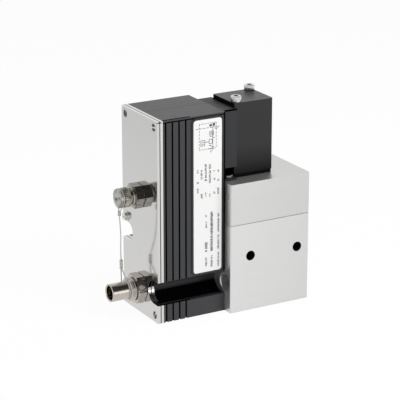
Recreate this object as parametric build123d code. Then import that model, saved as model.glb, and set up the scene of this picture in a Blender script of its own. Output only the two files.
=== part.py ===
from build123d import *
from math import acos, atan2, cos, radians, sin, sqrt
import os

# Proportional pressure valve, in millimetres.
# Bench axes while modelling: X runs right along the front from the outer face of the end cover,
# Y runs back from the front face of the electronics housing, Z runs up from the base.
# At the end every piece is moved so that the origin is the centre of the two panel holes
# on the rear face of the valve block.

# Overall sizes
housing_height = 136.0
housing_depth = 48.0
housing_end = 49.8            # X of the housing's right wall, where the valve block starts
wall = 2.4                    # housing wall
parting_y = 25.0              # plane where the two housing shells meet
edge_break = 0.5              # small chamfer on machined edges
beyond = 400.0                # further out than any piece, for cutting shells apart

# End cover: a bright sheet, a thin gasket and a bright frame
cover_sheet = 1.9
gasket_sheet = 0.6
frame_sheet = 1.8
frame_rim = 5.5
frame_channel_rim = 1.5
cover_slit_height = 0.8
cover_slit_drop = 0.4
cover_slit_depth = 1.2

# Vertical flutes and the lip over them on the housing's front
flute_count = 4
flute_first = 6.3
flute_pitch = 4.83
flute_width = 1.2
flute_depth = 1.3
lip_height = 1.0
lip_groove_height = 0.8
lip_groove_depth = 0.7

# Channels that leave room for the tube fittings
front_channel_z = 20.1
front_channel_half = 7.9
front_channel_depth = 13.5
rear_channel_z = 52.0
rear_channel_half = 5.9
rear_channel_depth = 13.4

# Label and its carrier
label_x0 = 26.2
label_width = 20.8
label_z0 = 29.8
label_height = 103.3
label_corner = 2.0
label_sheet = 0.3
carrier_rim = 1.6
carrier_proud = 0.5

# Neck between the housing and the solenoid
neck_front = 3.0
neck_rear = 36.0
neck_bottom = 97.0
neck_wall = 2.0
neck_overlap = 1.2            # how far the neck reaches over the solenoid's end
neck_clearance = 0.1
lug_length = 9.6
lug_width = 9.0
lug_sheet = 1.5

# Valve block, in two pieces with a thin gasket between
block_length = 60.2
block_front = -7.5
lower_block_height = 60.3
block_gasket_sheet = 0.3
upper_block_height = 27.9
gasket_inset = 0.8
panel_hole_radius = 3.3
panel_hole_inset = 15.2       # first panel hole from the block's left face
panel_hole_spacing = 36.0
panel_hole_z = 38.0

# Ports
quarter_radius = 5.72         # thread G1/4, at its minor diameter
quarter_depth = 13.0
quarter_chamfer = 0.6
eighth_radius = 4.283         # thread G1/8, at its minor diameter
eighth_depth = 9.0
eighth_chamfer = 0.5
outlet_y = 0.0
supply_y = 20.0
exhaust_inset = 6.6           # exhaust port's axis from the rear face
gallery_radius = 3.0
spot_hole_radius = 1.0
spot_hole_depth = 3.0
spot_hole_y = -4.1
spot_hole_heights = (30.9, 78.9)

# Valve cartridge
valve_x_inset = 23.9          # valve and solenoid axis from the block's left face
valve_y = 18.75
cartridge_radius = 9.0
cartridge_clearance = 0.03
cartridge_bottom = 43.5
spool_radius = 5.0
spool_clearance = 0.04
spool_waist_radius = 3.0
spool_bottom = 54.0
spool_low_land = 5.5
spool_waist = 8.5
spool_top_gap = 2.1           # from the spool at rest up to the pole piece
exhaust_gallery_z = 49.5
supply_gallery_z = 57.0
outlet_gallery_z = 66.0
sensor_z = 74.0
gallery_ring_height = 3.6
gallery_ring_depth = 1.6
window_radius = 1.1
seal_section = 0.9            # radius of the sleeve seals' section
seal_heights = (46.2, 53.2, 62.1, 70.2, 80.0)
seat_height = 2.2
spring_wire = 0.4             # radius of the spring's wire
spring_turns = 4.5
spring_mean_radius = 3.4
spring_end_gap = 0.3

# Solenoid
solenoid_length = 29.5
solenoid_depth = 27.5
solenoid_gap = 9.3            # solenoid's left face from the block's left face
solenoid_height = 48.0
solenoid_corner = 1.2
solenoid_cavity_radius = 11.8
solenoid_roof = 2.5
flange_height = 2.5
flange_inset = 0.6
flange_bore_clearance = 0.05
pole_flange_height = 2.4
pole_radius = 5.95
pole_step_height = 7.0
pole_top = 106.0
tube_wall = 0.85
tube_clearance = 0.02
armature_clearance = 0.07
armature_gap = 3.0
armature_length = 16.0
rod_radius = 1.5
rod_clearance = 0.06
rod_grip = 4.0
stop_gap = 0.3
stop_flange = 2.0
bobbin_wall = 0.7
bobbin_flange = 1.5
bobbin_flange_radius = 11.6
bobbin_bottom_gap = 4.3
coil_radius = 11.3
coil_height = 34.0
coil_clearance = 0.05

# Fasteners
m4_radius = 2.0
m4_head_radius = 3.5
m4_head_height = 4.0
m4_hex = 3.0
m4_hole_clearance = 0.25
solenoid_screw_inset = 3.6
solenoid_screw_grip = 9.0
m5_radius = 2.5
m5_dome_radius = 3.6
m5_dome_height = 2.4
m5_head_radius = 4.25
m5_head_height = 5.0
m5_hole_clearance = 0.25
top_screw_inset_x = 5.4
top_screw_front_y = 6.0
rear_screw_inset = 6.0         # the block's rear screws from the rear face
top_screw_length = 14.0
bottom_screw_right = 43.2       # from the block's left face
bottom_screw_left = 6.2
bottom_screw_front_y = -1.0
bottom_screw_middle_y = 31.0
bottom_screw_length = 66.0
cover_screw_radius = 1.5
cover_screw_head_radius = 2.7
cover_screw_inset = 4.7
cover_screw_length = 12.0
slot_width = 0.7
slot_depth = 0.8
shell_screw_radius = 1.25
shell_screw_head_radius = 2.4
shell_screw_head_height = 1.8
shell_boss_radius = 3.2
shell_boss_inset = 4.8          # boss centres from the housing's outer faces
shell_boss_left = 20.0
shell_screw_length = 30.0

# Earth screw near the rear channel
earth_y = 42.6
earth_z = 61.7
earth_screw_radius = 1.5
earth_head_radius = 2.7
earth_head_height = 2.0
earth_washer_radius = 3.4
earth_washer_sheet = 0.6

# Main connector, M12 with five pins
main_z = 17.8
main_reach = 23.2
main_barrel_radius = 6.0
main_bore_radius = 4.8
main_hex = 18.0
main_hex_height = 6.3
main_thread_radius = 7.9
main_thread_end = 10.4
main_tail_radius = 5.6
main_loop_groove = 1.1        # width of the relief behind the barrel, where the lanyard's loop lies
main_loop_radius = 5.7
main_tail = 4.0
main_floor = 9.4
main_pin_radius = 0.5
main_pin_circle = 2.75
main_pin_gap = 4.4            # from the barrel's rim to the pins' tips
main_nut_height = 2.2
main_nut_across = 15.0
insert_clearance = 0.05
connector_back = 10.5         # both connectors' axes behind the front channel
seal_recess = 0.3

# Service connector and its screwed cap
service_z = 81.5
service_hex = 15.0
service_hex_height = 6.0
service_neck_radius = 5.0
service_neck_end = 8.4
service_thread_radius = 4.0
service_reach = 13.4
service_bore_radius = 2.9
service_floor = 5.0
service_tail_radius = 5.0
service_tail = 4.0
service_nut_height = 2.2
service_nut_across = 12.0
service_pin_radius = 0.4
service_pin_circle = 1.4
service_pin_count = 4
cap_reach = 16.1
cap_radius = 6.5
cap_skirt_start = 8.7
cap_bore_clearance = 0.1
cap_groove_start = 13.2
cap_groove_width = 1.5
cap_groove_radius = 5.0
cap_disc_sheet = 1.0
cap_plain = 0.6
cap_knurls = 24
cap_knurl_radius = 0.45
cap_hole_radius = 1.0
cap_hole_offset = 2.25
cap_hole_turn = 22.0
collar_radius = 6.3
collar_height = 1.2

# Lanyard between the cap and the main connector
cord_radius = 0.4
cord_gap = 0.3
crimp_radius = 1.1
crimp_length = 6.5
upper_crimp_length = 3.0
upper_crimp_drop = 9.6
lower_crimp_y = 30.4
lower_crimp_z = 30.2
upper_crimp_y = 26.0
loop_play = 0.1               # between the lower loop and the thread beside it
# Places that the slack cord passes between its two crimps, chosen by eye, in the bench axes
cord_places = ((-13.85, 26.4, 61.0), (-13.7, 28.0, 52.0), (-12.6, 29.8, 44.0))
cord_bend_share = 0.45        # part of each leg that a bend may take up

# Electronics
connector_board_sheet = 1.6
connector_board_gap = 9.5
connector_board_clearance = 1.1
connector_board_low = 8.8     # from the main connector's axis down to the board's lower edge
connector_board_high = 11.5   # from the service connector's axis up to its upper edge
board_sheet = 1.6
board_x0 = 13.5
board_width = 23.0
board_front_gap = 4.0         # from the parting plane to the board's front
board_low_clearance = 1.7
board_high_clearance = 2.0
header_low = 10.0
header_height = 16.0
header_side = 1.5
part_x = 11.5                 # middle of the large components, from the board's left edge
capacitor_low = 14.0
capacitor_radius = 4.0
capacitor_height = 11.0
chip_side = 10.0
chip_height = 1.4
transistor_high = 12.0        # below the board's upper edge
transistor_side = 9.0
transistor_height = 4.5
board_hole_inset = 3.5
board_screw_radius = 1.25
board_screw_head_radius = 2.3
board_screw_head_height = 1.6
board_screw_length = 8.0
board_post_radius = 2.8
sensor_radius = 7.0
sensor_length = 10.0
sensor_nipple_radius = 3.0
sensor_nipple_reach = 6.0
sensor_nipple_clearance = 0.05
sensor_seal_section = 0.6
sensor_tap_radius = 1.2
contact_width = 1.6
contact_sheet = 0.6
contact_y = 26.0
contact_spacing = 4.0

cover_depth = cover_sheet + gasket_sheet + frame_sheet
connector_y = front_channel_depth + connector_back
exhaust_y = housing_depth - exhaust_inset
rear_screw_y = housing_depth - rear_screw_inset
board_y = parting_y - board_front_gap
board_z0 = rear_channel_z + rear_channel_half + wall + board_low_clearance
board_z1 = housing_height - shell_boss_inset - shell_boss_radius - board_high_clearance
contact_z = (neck_bottom + neck_wall + board_z1 - board_hole_inset - board_post_radius) / 2
block_x0 = housing_end
block_x1 = block_x0 + block_length
upper_block_z = lower_block_height + block_gasket_sheet
block_top = upper_block_z + upper_block_height
spool_top = block_top - pole_flange_height - spool_top_gap
valve_x = block_x0 + valve_x_inset
panel_hole_x = (block_x0 + panel_hole_inset, block_x0 + panel_hole_inset + panel_hole_spacing)
solenoid_x0 = block_x0 + solenoid_gap
solenoid_x1 = solenoid_x0 + solenoid_length
solenoid_y0 = valve_y - solenoid_depth / 2
solenoid_y1 = valve_y + solenoid_depth / 2
solenoid_z0 = block_top + flange_height
solenoid_top = solenoid_z0 + solenoid_height
origin = (sum(panel_hole_x) / 2, housing_depth, panel_hole_z)


def block(x0, x1, y0, y1, z0, z1):
    """Box between two corners."""
    return Pos(x0, y0, z0) * Box(x1 - x0, y1 - y0, z1 - z0, align=(Align.MIN,) * 3)


def rod_x(x0, x1, y, z, radius):
    """Round bar along X."""
    bar = Cylinder(radius, x1 - x0, align=(Align.CENTER, Align.CENTER, Align.MIN))
    return Pos(x0, y, z) * Rot(0, 90, 0) * bar


def rod_y(x, y0, y1, z, radius):
    """Round bar along Y."""
    bar = Cylinder(radius, y1 - y0, align=(Align.CENTER, Align.CENTER, Align.MIN))
    return Pos(x, y0, z) * Rot(-90, 0, 0) * bar


def rod_z(x, y, z0, z1, radius):
    """Round bar along Z."""
    bar = Cylinder(radius, z1 - z0, align=(Align.CENTER, Align.CENTER, Align.MIN))
    return Pos(x, y, z0) * bar


def cone_x(x0, x1, y, z, radius0, radius1):
    """Cone along X, with its first radius at x0."""
    cone = Cone(radius0, radius1, x1 - x0, align=(Align.CENTER, Align.CENTER, Align.MIN))
    return Pos(x0, y, z) * Rot(0, 90, 0) * cone


def hexagon_x(x0, x1, y, z, across):
    """Hexagonal bar along X with flats at its top and bottom."""
    profile = Rot(0, 0, 30) * RegularPolygon(across / 2, 6, major_radius=False)
    return Pos(x0, y, z) * Rot(0, 90, 0) * extrude(profile, x1 - x0)


def channel(x0, x1, mouth_y, inward, depth, centre_z, half):
    """Channel with a round bottom, running along X and open at the plane y = mouth_y."""
    arc_y = mouth_y + inward * (depth - half)
    far_y = mouth_y - inward * 2
    straight = block(x0, x1, min(arc_y, far_y), max(arc_y, far_y), centre_z - half, centre_z + half)
    return straight + rod_x(x0, x1, arc_y, centre_z, half)


def front_channel(x0, x1, grow=0.0):
    return channel(x0, x1, 0, 1, front_channel_depth + grow, front_channel_z, front_channel_half + grow)


def rear_channel(x0, x1, grow=0.0):
    return channel(x0, x1, housing_depth, -1, rear_channel_depth + grow, rear_channel_z,
                   rear_channel_half + grow)


def cover_screw_places():
    """Centres of the four cover screws, as (y, z)."""
    near = cover_screw_inset
    return [(y, z) for y in (near, housing_depth - near) for z in (near, housing_height - near)]


def board_screw_places():
    """Centres of the four board screws, as (x, z)."""
    xs = (board_x0 + board_hole_inset, board_x0 + board_width - board_hole_inset)
    zs = (board_z0 + board_hole_inset, board_z1 - board_hole_inset)
    return [(x, z) for x in xs for z in zs]


def shell_screw_places():
    """Centres of the four screws that join the housing shells, as (x, z)."""
    right = housing_end - shell_boss_inset
    low = shell_boss_inset
    high = housing_height - shell_boss_inset
    middle = (front_channel_z + front_channel_half + rear_channel_z - rear_channel_half) / 2
    return [(shell_boss_left, high), (right, high), (right, middle), (shell_boss_left, low)]


def top_screw_places():
    """Centres of the two screws on top of the block, as (x, y)."""
    x = block_x0 + top_screw_inset_x
    return [(x, top_screw_front_y), (x, rear_screw_y)]


def bottom_screw_places():
    """Centres of the three screws that come up from the base, as (x, y)."""
    right, left = block_x0 + bottom_screw_right, block_x0 + bottom_screw_left
    return [(right, bottom_screw_front_y), (right, rear_screw_y), (left, bottom_screw_middle_y)]


def solenoid_screw_places():
    """Centres of the two solenoid screws, in opposite corners, as (x, y)."""
    near = solenoid_screw_inset
    return [(solenoid_x0 + near, solenoid_y0 + near), (solenoid_x1 - near, solenoid_y1 - near)]


# Housing

def housing_outline():
    """Outer form of both shells together: the fluted body, its channels and the neck."""
    x0, x1 = cover_depth, housing_end
    neck_end = solenoid_x0 + neck_overlap
    form = block(x0, x1, 0, housing_depth, 0, housing_height)
    form += block(x1, neck_end, neck_front, neck_rear, neck_bottom, housing_height)
    form -= front_channel(x0 - 1, x1 + 1)
    form -= rear_channel(x0 - 1, x1 + 1)
    for index in range(flute_count):
        x = flute_first + index * flute_pitch
        groove_top = housing_height - lip_height
        form -= block(x - flute_width / 2, x + flute_width / 2, -1, flute_depth, -1, groove_top)
    lip_low = housing_height - lip_height - lip_groove_height
    form -= block(x0 - 1, label_x0 - carrier_rim, -1, lip_groove_depth, lip_low, lip_low + lip_groove_height)
    return form


def housing_cavity():
    """Space inside the shells, kept clear of the channels' walls, and the duct in the neck."""
    x0, x1 = cover_depth, housing_end - wall
    front_wall = wall + flute_depth
    space = block(x0 - 1, x1, front_wall, housing_depth - wall, wall, housing_height - wall)
    space -= front_channel(x0 - 2, x1 + 1, wall)
    space -= rear_channel(x0 - 2, x1 + 1, wall)
    duct = block(x1 - 1, solenoid_x0 + neck_overlap + 1, neck_front + neck_wall,
                 neck_rear - neck_wall, neck_bottom + neck_wall, housing_height - neck_wall)
    seat = block(solenoid_x0 - neck_clearance, solenoid_x1, solenoid_y0 - neck_clearance,
                 solenoid_y1 + neck_clearance, neck_bottom - 1, housing_height + 1)
    return space + duct + seat


def housing_shells():
    """Front and rear shells, with the lugs that the top block screws hold."""
    form = housing_outline() - housing_cavity()
    lug_x1 = housing_end + lug_length
    for y in (top_screw_front_y, rear_screw_y):
        form += block(housing_end - wall, lug_x1, y - lug_width / 2, y + lug_width / 2,
                      block_top, block_top + lug_sheet)
    for x, y in top_screw_places():
        form -= rod_z(x, y, block_top - 1, block_top + lug_sheet + 1, m5_radius + m5_hole_clearance)
    for y, z in cover_screw_places():
        post = rod_x(cover_depth, cover_depth + cover_screw_length, y, z, cover_screw_inset - 0.2)
        corner = block(cover_depth, cover_depth + cover_screw_length, 0, housing_depth, 0, housing_height)
        form += (post & corner) - flute_cuts()
        form -= rod_x(cover_depth - 1, cover_depth + cover_screw_length - frame_sheet, y, z, cover_screw_radius)
    for x, z in shell_screw_places():
        form += rod_y(x, wall, housing_depth - wall / 2, z, shell_boss_radius)
    form -= rod_x(housing_end - wall - 1, housing_end + 1, connector_y, sensor_z,
                  sensor_nipple_radius + 4 * sensor_nipple_clearance)
    front = form & block(-beyond, beyond, -beyond, parting_y, -beyond, beyond)
    rear = form & block(-beyond, beyond, parting_y, beyond, -beyond, beyond)
    for x, z in board_screw_places():
        rear += rod_y(x, board_y + board_sheet, housing_depth - wall / 2, z, board_post_radius)
        rear -= rod_y(x, board_y, board_y + board_screw_length, z, board_screw_radius)
    head_y = housing_depth - shell_screw_head_height
    for x, z in shell_screw_places():
        front -= rod_y(x, housing_depth - shell_screw_length, parting_y + 1, z, shell_screw_radius)
        rear -= rod_y(x, parting_y - 1, housing_depth + 1, z, shell_screw_radius + 0.15)
        rear -= rod_y(x, head_y, housing_depth + 1, z, shell_screw_head_radius + 0.2)
    return front, rear


def flute_cuts():
    """The flutes as cutters, for what is added behind them."""
    cuts = Part()
    for index in range(flute_count):
        x = flute_first + index * flute_pitch
        cuts += block(x - flute_width / 2, x + flute_width / 2, -1, flute_depth, -1,
                      housing_height - lip_height)
    return cuts


# End cover, gasket and frame

def cover_layer(x0, x1):
    """One full layer of the end cover, with both notches and the screw holes."""
    layer = block(x0, x1, 0, housing_depth, 0, housing_height)
    layer -= front_channel(x0 - 1, x1 + 1)
    layer -= rear_channel(x0 - 1, x1 + 1)
    for y, z in cover_screw_places():
        layer -= rod_x(x0 - 1, x1 + 1, y, z, cover_screw_radius + 0.1)
    return layer


def cover_slits(x0, x1):
    """Short slits under the top edge at the two upper corners of the sheet."""
    top = housing_height - cover_slit_drop
    low = top - cover_slit_height
    front = block(x0, x1, -1, cover_slit_depth, low, top)
    rear = block(x0, x1, housing_depth - cover_slit_depth, housing_depth + 1, low, top)
    return front + rear


def inner_window(x0, x1):
    """Opening inside the frame and the gasket, kept clear of the channels and the screws."""
    window = block(x0, x1, frame_rim, housing_depth - frame_rim, frame_rim, housing_height - frame_rim)
    window -= front_channel(x0 - 1, x1 + 1, frame_channel_rim)
    window -= rear_channel(x0 - 1, x1 + 1, frame_channel_rim)
    for y, z in cover_screw_places():
        window -= rod_x(x0 - 1, x1 + 1, y, z, cover_screw_inset)
    return window


def end_cover():
    cover = cover_layer(0, cover_sheet) - cover_slits(-1, cover_sheet + 1)
    for y, z in cover_screw_places():
        cover -= cone_x(0, cover_sheet - 0.4, y, z, cover_screw_head_radius, cover_screw_radius + 0.1)
    cover -= rod_x(-1, cover_sheet + 1, connector_y, main_z, main_tail_radius + 0.1)
    cover -= rod_x(-1, cover_sheet + 1, connector_y, service_z, service_tail_radius + 0.1)
    cover -= rod_x(-1, cover_sheet + 1, earth_y, earth_z, earth_screw_radius)
    return cover


def cover_gasket():
    x0, x1 = cover_sheet, cover_sheet + gasket_sheet
    gasket = cover_layer(x0, x1) - inner_window(x0 - 1, x1 + 1)
    return gasket - rod_x(x0 - 1, x1 + 1, earth_y, earth_z, earth_screw_radius)


def cover_frame():
    x0, x1 = cover_sheet + gasket_sheet, cover_depth
    frame = cover_layer(x0, x1) - inner_window(x0 - 1, x1 + 1)
    frame -= cover_slits(x0 - 1, x0 + frame_sheet / 2)
    return frame - rod_x(x0 - 1, x1 + 1, earth_y, earth_z, earth_screw_radius)


def cover_screw(y, z):
    """Countersunk screw with a slot, its head flush with the cover."""
    head_depth = cover_sheet - 0.4
    screw = cone_x(0, head_depth, y, z, cover_screw_head_radius - 0.05, cover_screw_radius)
    screw += rod_x(head_depth, cover_screw_length, y, z, cover_screw_radius)
    half_slot = cover_screw_head_radius
    slot = block(-1, slot_depth, y - half_slot, y + half_slot, z - slot_width / 2, z + slot_width / 2)
    slot = Pos(0, y, z) * Rot(35, 0, 0) * Pos(0, -y, -z) * slot
    return screw - slot


def earth_screw():
    """Pan-head screw with a slot, holding its washer on the cover."""
    head = rod_x(-earth_washer_sheet - earth_head_height, -earth_washer_sheet, earth_y, earth_z,
                 earth_head_radius)
    head = fillet(head.edges().filter_by(GeomType.CIRCLE).group_by(Axis.X)[0], 0.7)
    screw = head + rod_x(-earth_washer_sheet, cover_depth, earth_y, earth_z, earth_screw_radius)
    top = -earth_washer_sheet - earth_head_height
    slot = block(top - 1, top + slot_depth, earth_y - earth_head_radius, earth_y + earth_head_radius,
                 earth_z - slot_width / 2, earth_z + slot_width / 2)
    return screw - slot


def earth_washer():
    washer = rod_x(-earth_washer_sheet, 0, earth_y, earth_z, earth_washer_radius)
    return washer - rod_x(-earth_washer_sheet - 1, 1, earth_y, earth_z, earth_screw_radius)


def shell_screw(x, z):
    """Screw from the rear that joins the two shells."""
    head_y = housing_depth - shell_screw_head_height
    screw = rod_y(x, head_y, housing_depth, z, shell_screw_head_radius)
    screw += rod_y(x, housing_depth - shell_screw_length, head_y, z, shell_screw_radius)
    slot = block(x - shell_screw_head_radius, x + shell_screw_head_radius, housing_depth - slot_depth,
                 housing_depth + 1, z - slot_width / 2, z + slot_width / 2)
    return screw - slot


# Label

def label_plate():
    """White label with rounded corners, in its carrier's recess."""
    outline = RectangleRounded(label_width, label_height, label_corner)
    sheet = extrude(outline, label_sheet)
    centre = (label_x0 + label_width / 2, -carrier_proud + label_sheet, label_z0 + label_height / 2)
    return Pos(*centre) * Rot(90, 0, 0) * sheet


def label_carrier():
    """Raised dark surround that holds the label on the housing's front."""
    width = label_width + 2 * carrier_rim
    height = label_height + 2 * carrier_rim
    sheet = extrude(RectangleRounded(width, height, label_corner + carrier_rim), carrier_proud)
    centre = (label_x0 + label_width / 2, 0, label_z0 + label_height / 2)
    return Pos(*centre) * Rot(90, 0, 0) * sheet - label_plate()


# Valve block

def lower_block():
    """Lower block with the panel holes, the three ports and their galleries."""
    body = block(block_x0, block_x1, block_front, housing_depth, 0, lower_block_height)
    body = chamfer(body.edges().filter_by(Axis.Z), edge_break)
    for x in panel_hole_x:
        body -= rod_y(x, block_front - 1, housing_depth + 1, panel_hole_z, panel_hole_radius)
    body -= rod_z(valve_x, valve_y, cartridge_bottom, lower_block_height + 1, cartridge_radius)
    body -= port_x(block_x0, 1, outlet_y, front_channel_z, quarter_radius, quarter_depth, quarter_chamfer)
    body -= port_x(block_x1, -1, supply_y, front_channel_z, quarter_radius, quarter_depth, quarter_chamfer)
    body -= port_x(block_x0, 1, exhaust_y, rear_channel_z, eighth_radius, eighth_depth, eighth_chamfer)
    riser_x = valve_x + 2 * gallery_radius
    body -= rod_x(block_x0 + 1, riser_x, outlet_y, front_channel_z, gallery_radius)
    body -= rod_z(riser_x, outlet_y, front_channel_z, lower_block_height + 1, gallery_radius)
    supply_x = valve_x + cartridge_radius + 2 * gallery_radius
    body -= rod_x(supply_x, block_x1 - 1, supply_y, front_channel_z, gallery_radius)
    body -= rod_z(supply_x, supply_y, front_channel_z, supply_gallery_z, gallery_radius)
    body -= rod_x(valve_x + cartridge_radius - 1, supply_x, supply_y, supply_gallery_z - 1,
                  gallery_radius - 1)
    body -= rod_x(block_x0 + 1, valve_x, exhaust_y, rear_channel_z, gallery_radius)
    body -= rod_y(valve_x, valve_y + cartridge_radius - 1, exhaust_y, rear_channel_z - 1.5,
                  gallery_radius - 1)
    body -= rod_x(block_x0 - 1, block_x0 + spot_hole_depth, spot_hole_y, spot_hole_heights[0],
                  spot_hole_radius)
    for x, y in bottom_screw_places():
        body -= rod_z(x, y, -1, lower_block_height + 1, m5_radius + m5_hole_clearance)
        body -= rod_z(x, y, -1, m5_head_height + 1, m5_head_radius + m5_hole_clearance)
    return body


def port_x(face_x, inward, y, z, radius, depth, lead):
    """Threaded port cut along X from a face, with a lead-in chamfer."""
    x0, x1 = sorted((face_x - inward, face_x + inward * depth))
    cut = rod_x(x0, x1, y, z, radius)
    if inward > 0:
        return cut + cone_x(face_x, face_x + lead, y, z, radius + lead, radius)
    return cut + cone_x(face_x - lead, face_x, y, z, radius, radius + lead)


def upper_block():
    """Upper block, which carries the solenoid and the upper end of the cartridge."""
    body = block(block_x0, block_x1, block_front, housing_depth, upper_block_z, block_top)
    body = chamfer(body.edges().filter_by(Axis.Z), edge_break)
    body -= rod_z(valve_x, valve_y, upper_block_z - 1, block_top + 1, cartridge_radius)
    riser_x = valve_x + 2 * gallery_radius
    body -= rod_z(riser_x, outlet_y, upper_block_z - 1, outlet_gallery_z, gallery_radius)
    body -= rod_y(riser_x, outlet_y, valve_y - cartridge_radius + 3, outlet_gallery_z - 1,
                  gallery_radius - 1)
    nipple = sensor_nipple_radius + sensor_nipple_clearance
    body -= rod_x(block_x0 - 1, block_x0 + sensor_nipple_reach + 0.5, connector_y, sensor_z, nipple)
    body -= rod_x(block_x0, valve_x - cartridge_radius + 3, connector_y, sensor_z, sensor_tap_radius)
    body -= rod_x(block_x0 - 1, block_x0 + spot_hole_depth, spot_hole_y, spot_hole_heights[1],
                  spot_hole_radius)
    for x, y in solenoid_screw_places():
        body -= rod_z(x, y, block_top - solenoid_screw_grip - 1, block_top + 1, m4_radius)
    for x, y in top_screw_places():
        tip = block_top + lug_sheet - top_screw_length
        body -= rod_z(x, y, tip - 1, block_top + 1, m5_radius)
    for x, y in bottom_screw_places():
        tip = m5_head_height + 1 + bottom_screw_length
        body -= rod_z(x, y, upper_block_z - 1, tip + 1, m5_radius)
    return body


def block_gasket():
    """Thin gasket between the two blocks, set in a little from their edges."""
    inset = gasket_inset
    sheet = block(block_x0 + inset, block_x1 - inset, block_front + inset, housing_depth - inset,
                  lower_block_height, upper_block_z)
    low, high = lower_block_height - 1, upper_block_z + 1
    sheet -= rod_z(valve_x, valve_y, low, high, cartridge_radius + 0.5)
    sheet -= rod_z(valve_x + 2 * gallery_radius, outlet_y, low, high, gallery_radius)
    for x, y in bottom_screw_places():
        sheet -= rod_z(x, y, low, high, m5_radius + m5_hole_clearance)
    return sheet


def block_screw_top(x, y):
    """Domed screw that holds a housing lug and the upper block."""
    seat = block_top + lug_sheet
    head = rod_z(x, y, seat, seat + m5_dome_height, m5_dome_radius)
    head = fillet(head.edges().filter_by(GeomType.CIRCLE).group_by(Axis.Z)[-1], m5_dome_height * 0.8)
    socket = Pos(x, y, seat + m5_dome_height / 2) * extrude(
        RegularPolygon(m4_hex / 2, 6, major_radius=False), m5_dome_height)
    return head + rod_z(x, y, seat - top_screw_length, seat, m5_radius) - socket


def block_screw_bottom(x, y):
    """Socket-head screw that comes up from the base."""
    head = rod_z(x, y, 1, 1 + m5_head_height, m5_head_radius)
    socket = Pos(x, y, 0) * extrude(RegularPolygon(m4_hex * 2 / 3, 6, major_radius=False),
                                    1 + m5_head_height / 2)
    shank_z = 1 + m5_head_height
    return head + rod_z(x, y, shank_z, shank_z + bottom_screw_length, m5_radius) - socket


# Valve cartridge

def valve_sleeve():
    """Sleeve with ring galleries, radial windows and seal grooves."""
    outer = cartridge_radius - cartridge_clearance
    low = cartridge_bottom + spring_end_gap
    high = block_top - pole_flange_height
    sleeve = rod_z(valve_x, valve_y, low, high, outer)
    sleeve -= rod_z(valve_x, valve_y, low - 1, high + 1, spool_radius + spool_clearance)
    for z in (exhaust_gallery_z, supply_gallery_z, outlet_gallery_z, sensor_z):
        ring = rod_z(valve_x, valve_y, z - gallery_ring_height / 2, z + gallery_ring_height / 2, outer + 1)
        ring -= rod_z(valve_x, valve_y, z - gallery_ring_height, z + gallery_ring_height,
                      outer - gallery_ring_depth)
        sleeve -= ring
        sleeve -= rod_x(valve_x - outer - 1, valve_x + outer + 1, valve_y, z, window_radius)
        sleeve -= rod_y(valve_x, valve_y - outer - 1, valve_y + outer + 1, z, window_radius)
    for z in seal_heights:
        groove = rod_z(valve_x, valve_y, z - seal_section * 1.2, z + seal_section * 1.2, outer + 1)
        groove -= rod_z(valve_x, valve_y, z - seal_section * 2, z + seal_section * 2,
                        outer - 1.8 * seal_section)
        sleeve -= groove
    return sleeve


def sleeve_seal(z):
    """O-ring in a groove of the sleeve."""
    major = cartridge_radius - cartridge_clearance - 0.8 * seal_section
    return Pos(valve_x, valve_y, z) * Torus(major, seal_section * 0.8)


def spring_seat():
    """Plug in the sleeve's lower end, which carries the spring."""
    low = cartridge_bottom + spring_end_gap
    return rod_z(valve_x, valve_y, low, low + seat_height, spool_radius + spool_clearance)


def return_spring():
    """Helical spring between its seat and the spool."""
    low = cartridge_bottom + spring_end_gap + seat_height + spring_wire
    length = spool_bottom - spring_wire - low
    path = Helix(length / spring_turns, length, spring_mean_radius)
    section = Plane(path @ 0, z_dir=path % 0) * Circle(spring_wire)
    return Pos(valve_x, valve_y, low) * sweep(section, path)


def spool():
    """Spool with two lands and a waist."""
    low_end = spool_bottom + spool_low_land
    waist_end = low_end + spool_waist
    form = rod_z(valve_x, valve_y, spool_bottom, low_end, spool_radius)
    form += rod_z(valve_x, valve_y, low_end, waist_end, spool_waist_radius)
    form += rod_z(valve_x, valve_y, waist_end, spool_top, spool_radius)
    return form


# Solenoid

def solenoid_casing():
    """Dark casing with a round cavity, open at its bottom."""
    case = block(solenoid_x0, solenoid_x1, solenoid_y0, solenoid_y1, solenoid_z0, solenoid_top)
    case = fillet(case.edges().filter_by(Axis.Z), solenoid_corner)
    case -= rod_z(valve_x, valve_y, solenoid_z0 - 1, solenoid_top - solenoid_roof, solenoid_cavity_radius)
    for x, y in solenoid_screw_places():
        case -= rod_z(x, y, solenoid_z0 - 1, solenoid_top + 1, m4_radius + m4_hole_clearance)
    duct_end = valve_x - coil_radius
    case -= block(solenoid_x0 - 1, duct_end, contact_y - contact_spacing, contact_y + contact_spacing,
                  contact_z - contact_spacing / 2, contact_z + contact_spacing / 2)
    return case


def solenoid_flange():
    """Plate under the casing, set in from its edges."""
    inset = flange_inset
    plate = block(solenoid_x0 + inset, solenoid_x1 - inset, solenoid_y0 + inset, solenoid_y1 - inset,
                  block_top, solenoid_z0)
    plate -= rod_z(valve_x, valve_y, block_top - 1, solenoid_z0 + 1, pole_radius + flange_bore_clearance)
    for x, y in solenoid_screw_places():
        plate -= rod_z(x, y, block_top - 1, solenoid_z0 + 1, m4_radius + m4_hole_clearance)
    return plate


def pole_piece():
    """Fixed core, whose flange holds the cartridge down."""
    low = block_top - pole_flange_height
    step = pole_top - pole_step_height
    piece = rod_z(valve_x, valve_y, low, block_top, cartridge_radius - cartridge_clearance)
    piece += rod_z(valve_x, valve_y, block_top, step, pole_radius)
    piece += rod_z(valve_x, valve_y, step, pole_top, pole_radius - tube_wall - tube_clearance)
    return piece - rod_z(valve_x, valve_y, low - 1, pole_top + 1, rod_radius + rod_clearance)


armature_low = pole_top + armature_gap
armature_top = armature_low + armature_length
tube_top = solenoid_top - solenoid_roof - stop_flange


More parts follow.
